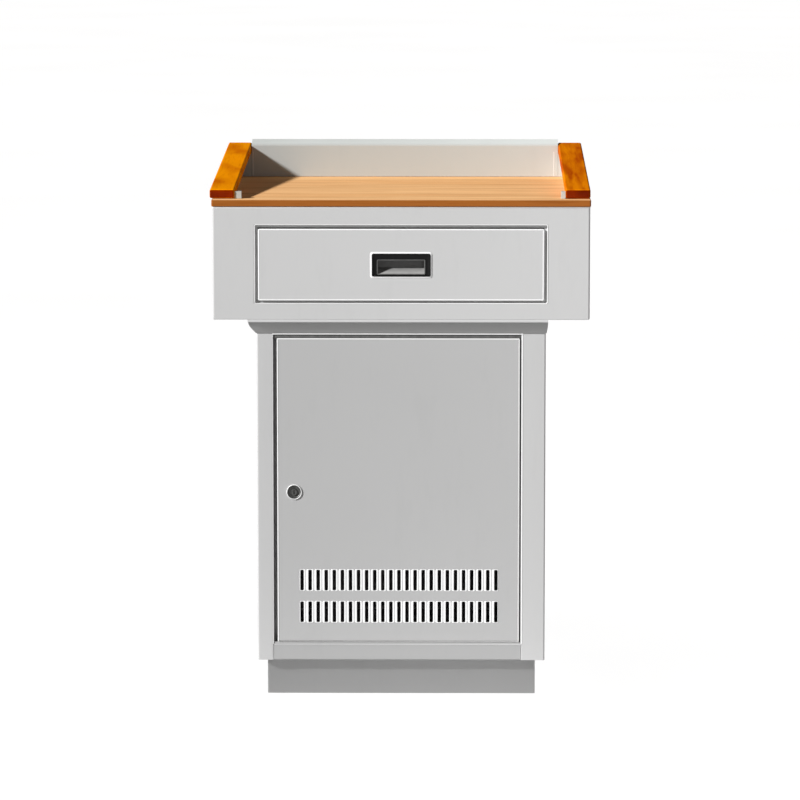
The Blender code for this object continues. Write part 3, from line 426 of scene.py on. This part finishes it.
# A much darker varnish, given to the front faces of the armrests' noses
NOSE_VARNISH = varnished_wood("amber_darker_nose", (0.11, 0.008, 0.0002), (0.20, 0.017, 0.0003))
ZINC = zinc("zinc_plate", (0.60, 0.60, 0.59))
BLACK = moulded_plastic("black_plastic", grey(0.005), roughness=0.34, specular=0.12)
GREY_RIM = moulded_plastic("grey_rim", (0.085, 0.085, 0.083), roughness=0.38, specular=0.3)
CUP = painted_shade_plastic("grey_cup", (0.33, 0.326, 0.320), top_share=0.3788, heights=CUP_SHADE_HEIGHTS)
LOCK_METAL = worn_metal("lock_nickel", (0.085, 0.085, 0.082), roughness=0.42)


# ---------------------------------------------------------------------------------------------------------
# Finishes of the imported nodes
# ---------------------------------------------------------------------------------------------------------

def finish_for(node):
    """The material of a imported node, from its name."""
    if node.startswith("plinth"):
        return PAINT["plinth"]
    if node.startswith("door_s"):
        return PAINT["door"]
    if node.endswith("rail"):
        return PAINT["rail"]
    if node.startswith("gallery"):
        return PAINT["gallery"]
    if node.startswith(("box", "drawer")):
        return PAINT["box"]
    if node.startswith(("slide", "runner", "joining", "hinge", "lock_cam", "lock_nut")):
        return ZINC
    if node.startswith("collar"):
        return PAINT["collar"]
    if node == "pull_cup":
        return CUP
    if node == "lock_plug":
        return LOCK_METAL
    return PAINT["cabinet"]


def dress_node(node):
    """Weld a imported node's triangles, round its raw edges slightly and give it its finish."""
    obj = NODES[node]
    mesh = obj.data
    custom = mesh.attributes.get("custom_normal")
    if custom is not None:
        mesh.attributes.remove(custom)
    mesh.shade_smooth()
    weld = obj.modifiers.new("weld", "WELD")
    weld.merge_threshold = WELD_DISTANCE
    flat = obj.modifiers.new("flat_faces", "DECIMATE")
    flat.decimate_type = "DISSOLVE"
    flat.angle_limit = math.radians(FLAT_ANGLE)
    add_rounding(obj, EDGE_ROUNDING, segments=2, angle=SHARP_ANGLE)
    mesh.materials.clear()
    mesh.materials.append(finish_for(node))


# ---------------------------------------------------------------------------------------------------------
# Outlines and meshes
# ---------------------------------------------------------------------------------------------------------

def arc(centre, radius, start, end, steps):
    """Points on an arc."""
    points = []
    for step in range(steps + 1):
        angle = math.radians(start + (end - start) * step / steps)
        points.append((centre[0] + radius * math.cos(angle), centre[1] + radius * math.sin(angle)))
    return points


def rounded_rectangle(low, high, radius, steps=5):
    """Outline, anticlockwise from the lower left corner."""
    outline = arc((low[0] + radius, low[1] + radius), radius, 180, 270, steps)
    outline += arc((high[0] - radius, low[1] + radius), radius, 270, 360, steps)
    outline += arc((high[0] - radius, high[1] - radius), radius, 0, 90, steps)
    outline += arc((low[0] + radius, high[1] - radius), radius, 90, 180, steps)
    return outline


def ridge(x, half_profile):
    """Outline of a low ridge about x; its half profile is (half width, y), from root to crest."""
    left = [(x - half_width, y) for half_width, y in half_profile]
    right = [(x + half_width, y) for half_width, y in reversed(half_profile)]
    return left + right


def at(axis, u, v, w):
    """A point of an outline extruded along the axis."""
    if axis == "X":
        return Vector((w, u, v))
    if axis == "Y":
        return Vector((u, w, v))
    return Vector((u, v, w))


def prism(outline, axis, start, end):
    """A solid of constant section along the axis."""
    bm = bmesh.new()
    face = bm.faces.new([bm.verts.new(at(axis, u, v, start)) for u, v in outline])
    grown = bmesh.ops.extrude_face_region(bm, geom=[face])
    moved = [item for item in grown["geom"] if isinstance(item, bmesh.types.BMVert)]
    bmesh.ops.translate(bm, verts=moved, vec=at(axis, 0, 0, end - start))
    bmesh.ops.recalc_face_normals(bm, faces=bm.faces)
    return bm


def hoop(axis, sections):
    """A closed hoop through sections, each an outline of equal length and its depth along the axis."""
    bm = bmesh.new()
    loops = []
    for outline, depth in sections:
        loops.append([bm.verts.new(at(axis, u, v, depth)) for u, v in outline])
    for first, second in zip(loops, loops[1:] + loops[:1]):
        for i in range(len(first)):
            j = (i + 1) % len(first)
            bm.faces.new((first[i], first[j], second[j], second[i]))
    bmesh.ops.recalc_face_normals(bm, faces=bm.faces)
    return bm


def turned(profile, centre):
    """A closed hoop turned about an axis along Y; the profile is (radius, y)."""
    sections = []
    for radius, depth in profile:
        outline = []
        for step in range(LOCK_STEPS):
            angle = 2 * math.pi * step / LOCK_STEPS
            outline.append((centre[0] + radius * math.cos(angle), centre[1] + radius * math.sin(angle)))
        sections.append((outline, depth))
    return hoop("Y", sections)


# ---------------------------------------------------------------------------------------------------------
# Objects
# ---------------------------------------------------------------------------------------------------------

def add_object(name, data):
    obj = bpy.data.objects.new(name, data)
    bpy.context.scene.collection.objects.link(obj)
    return obj


def add_piece(name, bm, material, body, slot, *replaced):
    """Put a new piece in the scene, riding on its body and standing for the nodes that it replaces."""
    mesh = bpy.data.meshes.new(name)
    bm.to_mesh(mesh)
    bm.free()
    mesh.shade_smooth()
    mesh.set_sharp_from_angle(angle=math.radians(SHARP_ANGLE))
    mesh.materials.append(material)
    piece = add_object(name, mesh)
    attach(piece, body)
    if replaced:
        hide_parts(*replaced)
    return piece


def add_second_finish(piece, material, chosen):
    """Give the second material to the faces that chosen picks."""
    piece.data.materials.append(material)
    for face in piece.data.polygons:
        if chosen(face):
            face.material_index = 1


def add_rounding(obj, radius, segments=3, angle=40.0):
    """Round the edges that turn by more than the angle."""
    bevel = obj.modifiers.new("rounding", "BEVEL")
    bevel.limit_method = "ANGLE"
    bevel.angle_limit = math.radians(angle)
    bevel.width = radius
    bevel.segments = segments
    normals = obj.modifiers.new("normals", "WEIGHTED_NORMAL")
    normals.keep_sharp = True


def round_edges(piece, radius, **options):
    """Round a new piece's edges, which are then no longer shaded as sharp."""
    for edge in piece.data.edges:
        edge.use_edge_sharp = False
    add_rounding(piece, radius, **options)


# ---------------------------------------------------------------------------------------------------------
# Worktop and armrests
# ---------------------------------------------------------------------------------------------------------

def build_worktop():
    """A veneered board inside a thin edging strip that runs right round it."""
    low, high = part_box("worktop")
    inner = rounded_rectangle((low.x + EDGING, low.y + EDGING), (high.x - EDGING, high.y - EDGING),
                              BOARD_CORNER)
    outer = rounded_rectangle((low.x, low.y), (high.x, high.y), EDGING_CORNER)
    board = prism(inner, "Z", low.z, high.z)
    add_piece("worktop_board", board, BOARD, CARCASS, "board", "worktop")
    strip = hoop("Z", [(outer, low.z), (outer, high.z), (inner, high.z), (inner, low.z)])
    edging = add_piece("worktop_edging", strip, BOARD_EDGE, CARCASS, "board")
    round_edges(edging, EDGING_ROUNDING)


def build_armrest(side, sign):
    """A sloping bar with a rounded nose and softened edges, running straight from its front to its back."""
    node = f"armrest_{side}"
    low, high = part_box(node)
    slope = (high.z - low.z - ARMREST_THICKNESS) / (high.y - low.y)
    rise = math.degrees(math.atan(slope))
    front_top = low.z + ARMREST_THICKNESS
    nose = arc((low.y + NOSE_RADIUS, front_top - NOSE_RADIUS), NOSE_RADIUS, 180, 90 + rise, 8)
    tail = arc((high.y - TAIL_RADIUS, high.z - TAIL_RADIUS), TAIL_RADIUS, 90 + rise, 0, 5)
    outline = [(low.y, low.z)] + nose + tail + [(high.y, high.z - ARMREST_THICKNESS)]
    inner, outer = sorted((low.x * sign, high.x * sign))
    toe_in = outer - inner - ARMREST_WIDTH
    bm = prism(outline, "X", *sorted((sign * (outer - ARMREST_WIDTH), sign * outer)))
    for vert in bm.verts:
        vert.co.x -= sign * toe_in * (vert.co.y - low.y) / (high.y - low.y)
    bar = add_piece(f"armrest_{side}_bar", bm, VARNISH[side], CARCASS, "varnish", node)

    def on_nose(face):
        return face.normal.y < NOSE_FACING and face.center.y < low.y + NOSE_RADIUS

    add_second_finish(bar, NOSE_VARNISH, on_nose)
    round_edges(bar, ARMREST_ROUNDING, segments=5, angle=60.0)


# ---------------------------------------------------------------------------------------------------------
# Drawer pull
# ---------------------------------------------------------------------------------------------------------

def build_pull():
    """A pressed surround painted bright as a highlight, and a dished black frame round the window of the
    grey cup.
    """
    low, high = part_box("pull_frame")
    cup_low, cup_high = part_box("pull_cup")
    window_low = (cup_low.x + CUP_WALL, cup_low.z + CUP_WALL + WINDOW_LIFT)
    window_high = (cup_high.x - CUP_WALL, high.z - WINDOW_TOP_BAR)

    def frame_outline(by, radius):
        return rounded_rectangle((low.x - by, low.z - by), (high.x + by, high.z + by), radius)

    def window_outline(by, radius):
        return rounded_rectangle((window_low[0] - by, window_low[1] - by),
                                 (window_high[0] + by, window_high[1] + by), radius)

    panel_face = high.y + GAP
    foot = panel_face - SURROUND_FOOT
    crest = panel_face - SURROUND_HEIGHT
    inner_edge = frame_outline(GAP, SURROUND_INNER_CORNER)
    surround = [(frame_outline(SURROUND_WIDTH, SURROUND_CORNER), foot),
                (frame_outline(SURROUND_WIDTH * SURROUND_CREST, SURROUND_CORNER), crest),
                (inner_edge, crest), (inner_edge, foot)]
    add_piece("pull_surround", hoop("Y", surround), HIGHLIGHT_TRIM_PAINT, DRAWER, "paint")

    # From the frame's back, round its raised rim, down into the dish and over the rim of the window
    front = low.y
    back = high.y
    dish = back - DISH_FLOOR
    window_front = back - WINDOW_RIM_HEIGHT
    bezel = [(frame_outline(0.0, 0.0025), back),
             (frame_outline(0.0, 0.0025), front + 0.0003),
             (frame_outline(-0.0003, 0.0024), front),
             (frame_outline(-PULL_RIM, 0.0022), front),
             (frame_outline(-PULL_RIM - DISH_SLOPE, 0.0018), dish),
             (window_outline(0.0016, 0.0022), dish),
             (window_outline(0.0014, 0.0020), window_front),
             (window_outline(0.0004, 0.0014), window_front),
             (window_outline(0.0, 0.0012), window_front + 0.0004),
             (window_outline(0.0, 0.0012), back)]
    piece = add_piece("pull_bezel", hoop("Y", bezel), BLACK, DRAWER, "black_plastic", "pull_frame")
    middle = (window_low[0] + window_high[0]) / 2
    reach = (window_high[0] - window_low[0]) / 2 + WINDOW_RIM

    def beside_window(face):
        level = window_low[1] - WINDOW_RIM < face.center.z < window_high[1] + WINDOW_RIM
        return level and abs(face.center.x - middle) < reach

    add_second_finish(piece, GREY_RIM, beside_window)


# ---------------------------------------------------------------------------------------------------------
# Beads, rims and creases
# ---------------------------------------------------------------------------------------------------------

def bead_ring(low, high, face, width, inwards, bottom_share=1.0):
    """A thin raised ring just inside a panel's edge, or just outside the edge of an opening.

    Its width along the bottom is the given share of its width elsewhere."""
    step = -1 if inwards else 1
    front = face - BEAD_HEIGHT
    profile = [(0.0, face + BEAD_DEPTH), (0.0, front + BEAD_ROUND),
               (BEAD_ROUND * 0.3, front + BEAD_ROUND * 0.3), (BEAD_ROUND, front),
               (width - BEAD_ROUND * 0.5, front), (width, face + BEAD_FOOT), (width, face + BEAD_DEPTH)]
    sections = []
    for distance, depth in profile:
        out = step * distance
        radius = max(BEAD_CORNER + out, SMALLEST_CORNER)
        lower_left = (low[0] - out, low[1] - out * bottom_share)
        outline = rounded_rectangle(lower_left, (high[0] + out, high[1] + out), radius, 3)
        sections.append((outline, depth))
    return hoop("Y", sections)


def panel_bead(panel, width, bottom_share=1.0):
    """The bead just inside the edge of a packed panel."""
    low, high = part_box(panel)
    return bead_ring((low.x, low.z), (high.x, high.z), low.y, width, True, bottom_share)


def build_beads():
    """Rims round the drawer panel, the door and the two openings, painted bright as highlights."""
    drawer_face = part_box("drawer_front_panel")[0].y
    door_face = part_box("door_skin")[0].y
    bead = panel_bead("drawer_front_panel", DRAWER_BEAD)
    add_piece("drawer_edge_bead", bead, HIGHLIGHT_TRIM_PAINT, DRAWER, "paint")
    bead = panel_bead("door_skin", DOOR_BEAD, DOOR_BEAD_BOTTOM_SHARE)
    add_piece("door_edge_bead", bead, HIGHLIGHT_EDGE_PAINT, DOOR, "paint")
    low, (right, top) = DOOR_OPENING
    bead = bead_ring(low, (right + HINGE_SIDE_STEP, top), door_face, OPENING_BEAD, False)
    opening_bead = add_piece("door_opening_bead", bead, HIGHLIGHT_RIM_PAINT, CARCASS, "paint")
    # The run under the opening keeps the cabinet's paint, with no painted highlight
    add_second_finish(opening_bead, PAINT["cabinet"], lambda face: face.center.z < low[1])
    bead = bead_ring(*DRAWER_OPENING, drawer_face, OPENING_BEAD, False)
    add_piece("drawer_opening_bead", bead, HIGHLIGHT_EDGE_PAINT, CARCASS, "paint")


def slot_rim(left, low, high, left_width, right_width):
    """One rim: wide between two slots, and narrow at the ends of the slot and of the row."""
    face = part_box("door_skin")[0].y
    front = face - SLOT_RIM_HEIGHT
    crest_start, crest_end = SLOT_RIM_CREST
    profile = [(0.0, face + SLOT_RIM_ROOT), (0.0, front + SLOT_RIM_EDGE), (crest_start, front),
               (crest_end, front), (1.0, face + SLOT_RIM_EDGE), (1.0, face + SLOT_RIM_ROOT)]
    sections = []
    for share, depth in profile:
        end = share * SLOT_RIM_END
        lower_left = (left - share * left_width, low - end)
        upper_right = (left + SLOT_WIDTH + share * right_width, high + end)
        sections.append((rounded_rectangle(lower_left, upper_right, SLOT_CORNER + end, 3), depth))
    return hoop("Y", sections)


def build_slot_rims():
    """The pressed rims that stand round the vent slots, painted bright as highlights."""
    rims = bmesh.new()
    carrier = bpy.data.meshes.new("rim_carrier")
    for low, high in SLOT_ROWS:
        for index in range(SLOT_COUNT):
            left = SLOT_FIRST_X + index * SLOT_PITCH - SLOT_WIDTH / 2
            left_width = SLOT_RIM if index > 0 else SLOT_RIM_END
            right_width = SLOT_RIM if index < SLOT_COUNT - 1 else SLOT_RIM_END
            rim = slot_rim(left, low, high, left_width, right_width)
            rim.to_mesh(carrier)
            rim.free()
            rims.from_mesh(carrier)
    bpy.data.meshes.remove(carrier)
    add_piece("vent_slot_rims", rims, HIGHLIGHT_TRIM_PAINT, DOOR, "paint")


def build_box_top_rim():
    """A fine raised rim round the top of the box, in a lighter paint that is a painted highlight."""
    low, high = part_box("box_front_frame")
    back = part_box("box_back_panel")[1].y

    def outline(out):
        return rounded_rectangle((low.x - out, low.y - out), (high.x + out, back + out), BOX_CORNER + out, 4)

    bottom = high.z - BOX_RIM_HEIGHT
    inside = outline(-BOX_RIM_ROOT)
    outside = outline(BOX_RIM_PROUD)
    sections = [(inside, bottom), (outline(0.0), bottom), (outside, bottom + BOX_RIM_SLOPE),
                (outside, high.z - BOX_RIM_SLOPE), (outline(0.0), high.z), (inside, high.z)]
    add_piece("box_top_rim", hoop("Z", sections), HIGHLIGHT_RIM_PAINT, CARCASS, "paint")


def build_box_front_lip():
    """The lip that shows under the box's front edge, as wide as the collar below it; its lighter paint is a
    painted highlight.
    """
    box_low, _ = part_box("box_front_frame")
    collar_low, collar_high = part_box("collar_front")
    front = box_low.y + LIP_SETBACK
    drop = box_low.z - LIP_DROP
    root = box_low.z + LIP_ROOT
    profile = [(front, root), (front, drop + LIP_ROUND), (front + LIP_ROUND / 3, drop + LIP_ROUND / 3),
               (front + LIP_ROUND, drop), (front + LIP_DEPTH, drop), (front + LIP_DEPTH, root)]
    lip = prism(profile, "X", collar_low.x, collar_high.x)
    add_piece("box_front_lip", lip, HIGHLIGHT_RIM_PAINT, CARCASS, "paint")


def build_gallery_creases():
    """The upright crease near each end of the gallery's back wall, painted bright as a highlight line."""
    low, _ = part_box("gallery_back_wall")
    depths = (low.y + CREASE_ROOT, low.y, low.y - CREASE_PROUD)
    half_profile = list(zip(CREASE_HALF_WIDTHS, depths))
    for side, x in (("left", -CREASE_X), ("right", CREASE_X)):
        crease = prism(ridge(x, half_profile), "Z", low.z + CREASE_LIFT, CREASE_TOP)
        add_piece(f"gallery_crease_{side}", crease, HIGHLIGHT_EDGE_PAINT, CARCASS, "paint")


# ---------------------------------------------------------------------------------------------------------
# Round the door: head, sill and weld seams
# ---------------------------------------------------------------------------------------------------------

def build_door_head_strip():
    """The strip set back in the gap over the door; its grey stands for the shade in the gap."""
    (left, _), (right, top) = DOOR_OPENING
    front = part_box("door_skin")[0].y + HEAD_SETBACK
    back = front + HEAD_THICKNESS
    profile = [(front, HEAD_BOTTOM), (front + 0.0003, HEAD_BOTTOM - 0.0002), (back, HEAD_BOTTOM - 0.0002),
               (back, top + HEAD_LAP), (front, top + HEAD_LAP)]
    strip = prism(profile, "X", left + HEAD_LAP, right - HEAD_LAP)
    add_piece("door_head_strip", strip, GREY_RIM, CARCASS, "black_plastic")


def build_door_head_edge():
    """The edge of the opening over the door, painted bright as a highlight, as long as the opening's bead.
    """
    (left, _), (right, bottom) = DOOR_OPENING
    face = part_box("door_skin")[0].y
    front = face - HEAD_EDGE_PROUD
    back = face + HEAD_EDGE_ROOT
    top = bottom + HEAD_EDGE
    profile = [(front + 0.0002, bottom), (front, bottom + 0.0003), (front, top - 0.0004),
               (front + 0.0003, top), (back, top), (back, bottom)]
    edge = prism(profile, "X", left - OPENING_BEAD, right + HINGE_SIDE_STEP + OPENING_BEAD)
    add_piece("door_head_edge", edge, HIGHLIGHT_TRIM_PAINT, CARCASS, "paint")


def build_sill():
    """The sill under the door."""
    (left, bottom), (right, _) = DOOR_OPENING
    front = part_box("cabinet_bottom_rail")[0].y + SILL_SETBACK
    back = front + SILL_DEPTH
    top = bottom + SILL_HEIGHT
    profile = [(front, bottom - SILL_ROOT), (front + 0.0006, top - 0.0004), (front + 0.0010, top),
               (back, top), (back, bottom - SILL_ROOT)]
    sill = prism(profile, "X", left + SILL_END_GAP, right - SILL_END_GAP)
    add_piece("door_sill", sill, PAINT["rail"], CARCASS, "paint")


def build_weld_seams():
    """The ground welds where the bottom rail meets the two stiles."""
    rail_low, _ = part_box("cabinet_bottom_rail")
    (left, bottom), (right, _) = DOOR_OPENING
    half_profile = [(SEAM_HALF_WIDTH, rail_low.y + SEAM_ROOT), (SEAM_HALF_WIDTH, rail_low.y),
                    (SEAM_HALF_WIDTH * SEAM_CREST, rail_low.y - SEAM_PROUD)]
    for side, x in (("left", left), ("right", right)):
        seam = prism(ridge(x, half_profile), "Z", rail_low.z + SEAM_LIFT, bottom - DOOR_BEAD)
        add_piece(f"rail_weld_{side}", seam, PAINT["rail"], CARCASS, "paint")


# ---------------------------------------------------------------------------------------------------------
# Lock
# ---------------------------------------------------------------------------------------------------------

def build_lock():
    """The lock's face round its plug: a trim ring painted bright as a highlight, and a dished face inside
    it.
    """
    low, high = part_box("lock_barrel")
    plug_low, plug_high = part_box("lock_plug")
    centre = ((low.x + high.x) / 2, (low.z + high.z) / 2)
    face = low.y
    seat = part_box("door_skin")[0].y - GAP
    inner = LOCK_RIM_RADIUS - LOCK_RIM_WIDTH
    crest = (LOCK_RIM_RADIUS + inner) / 2
    rim = [(LOCK_RIM_RADIUS, seat), (LOCK_RIM_RADIUS - 0.0001, face + 0.0010),
           (crest + LOCK_RIM_CREST, face + 0.0002), (crest, face), (crest - LOCK_RIM_CREST, face + 0.0002),
           (inner, face + 0.0008), (inner, seat)]
    add_piece("lock_rim", turned(rim, centre), HIGHLIGHT_TRIM_PAINT, DOOR, "lock_metal")

    # From the dish's edge down its slope to the plug's bore, and back along the threaded body
    body = (high.x - low.x) / 2 * LOCK_BODY_SHARE
    bore = (plug_high.x - plug_low.x) / 2 + GAP
    dish = inner - 0.0001
    dish_front = face + 0.0004
    dish_floor = dish_front + LOCK_DISH_DEPTH
    barrel = [(dish, seat), (dish, dish_front + 0.0001), (dish - 0.0006, dish_front),
              (dish - 0.0006 - LOCK_DISH_SLOPE, dish_floor), (bore + 0.0006, dish_floor),
              (bore, dish_floor + 0.0002), (bore, high.y), (body, high.y), (body, seat)]
    add_piece("lock_body", turned(barrel, centre), LOCK_METAL, DOOR, "lock_metal", "lock_barrel")


# ---------------------------------------------------------------------------------------------------------
# Camera, light and floor
# ---------------------------------------------------------------------------------------------------------

def add_camera():
    data = bpy.data.cameras.new("camera")
    data.lens = CAMERA_LENS
    data.clip_end = CAMERA_REACH
    camera = add_object("camera", data)
    camera.location = CAMERA_PLACE
    camera.rotation_euler = (math.radians(90 - CAMERA_PITCH), 0, math.radians(CAMERA_YAW))
    bpy.context.scene.camera = camera


def floor_material():
    g = Graph("pale_floor")
    g.colour(g.ramp(g.noise((0.8, 0.8, 0.8)), (0.3, grey(0.88)), (0.7, grey(0.90))))
    g.set(Roughness=0.9, Specular_IOR_Level=0.1)
    return g.material


def square(bm, half):
    """The corners of a level square about the origin."""
    return [bm.verts.new((x * half, y * half, 0)) for x, y in ((-1, -1), (1, -1), (1, 1), (-1, 1))]


def add_floor_part(name, bm, material):
    mesh = bpy.data.meshes.new(name)
    bm.to_mesh(mesh)
    bm.free()
    mesh.materials.append(material)
    part = add_object(name, mesh)
    part.visible_shadow = False
    return part


def add_floor():
    """A pale floor in two parts, side by side: only the near part throws light back on the counter."""
    material = floor_material()
    bm = bmesh.new()
    bm.faces.new(square(bm, NEAR_FLOOR))
    near = add_floor_part("near_floor", bm, material)
    bm = bmesh.new()
    outer = square(bm, FAR_FLOOR)
    inner = square(bm, NEAR_FLOOR)
    for i in range(4):
        j = (i + 1) % 4
        bm.faces.new((outer[i], outer[j], inner[j], inner[i]))
    far = add_floor_part("far_floor", bm, material)
    far.visible_diffuse = False
    return [near, far]


def add_sun(name, strength, softness, elevation, azimuth, only=(), but=()):
    """A sun from the given direction, on only some objects or on all but some."""
    data = bpy.data.lights.new(name, "SUN")
    data.energy = strength
    data.angle = math.radians(softness)
    light = add_object(name, data)
    up = math.radians(elevation)
    turn = math.radians(azimuth)
    source = Vector((-math.cos(up) * math.cos(turn), -math.cos(up) * math.sin(turn), math.sin(up)))
    light.rotation_mode = "QUATERNION"
    light.rotation_quaternion = source.to_track_quat("Z", "Y")
    receivers = bpy.data.collections.new(f"{name}_receivers")
    for obj in (*only, *but):
        receivers.objects.link(obj)
    for entry in receivers.collection_objects:
        entry.light_linking.link_state = "INCLUDE" if only else "EXCLUDE"
    light.light_linking.receiver_collection = receivers
    return light


def add_light(floor):
    """The counter's suns, with a weaker key on its collar and plinth, and the floor's own two."""
    shaded = [NODES[node] for node in NODES if node.startswith(("plinth", "collar"))]
    add_sun("key", **KEY, but=floor + shaded)
    add_sun("shaded_key", **SHADED_KEY, only=shaded)
    add_sun("bounce", **BOUNCE, but=floor)
    add_sun("back_fill", **BACK_FILL, but=floor)
    add_sun("right_fill", **RIGHT_FILL, but=floor)
    add_sun("front_fill", **FRONT_FILL, but=floor)
    add_sun("contact_light", **CONTACT_LIGHT, only=floor)
    shadowless = add_sun("floor_light", **FLOOR_LIGHT, only=floor)
    shadowless.data.use_shadow = False


def add_world():
    world = bpy.data.worlds.new("studio")
    world.use_nodes = True
    background = world.node_tree.nodes["Background"]
    background.inputs["Color"].default_value = (*WORLD_COLOUR, 1.0)
    background.inputs["Strength"].default_value = WORLD_STRENGTH
    bpy.context.scene.world = world
    bpy.context.scene.view_settings.view_transform = "Standard"


# ---------------------------------------------------------------------------------------------------------
# The whole scene
# ---------------------------------------------------------------------------------------------------------


add_camera()
add_light(add_floor())
add_world()
for node_name in NODES:
    dress_node(node_name)
build_worktop()
build_armrest("left", -1)
build_armrest("right", 1)
build_pull()
build_beads()
build_slot_rims()
build_box_top_rim()
build_box_front_lip()
build_gallery_creases()
build_door_head_strip()
build_door_head_edge()
build_sill()
build_weld_seams()
build_lock()
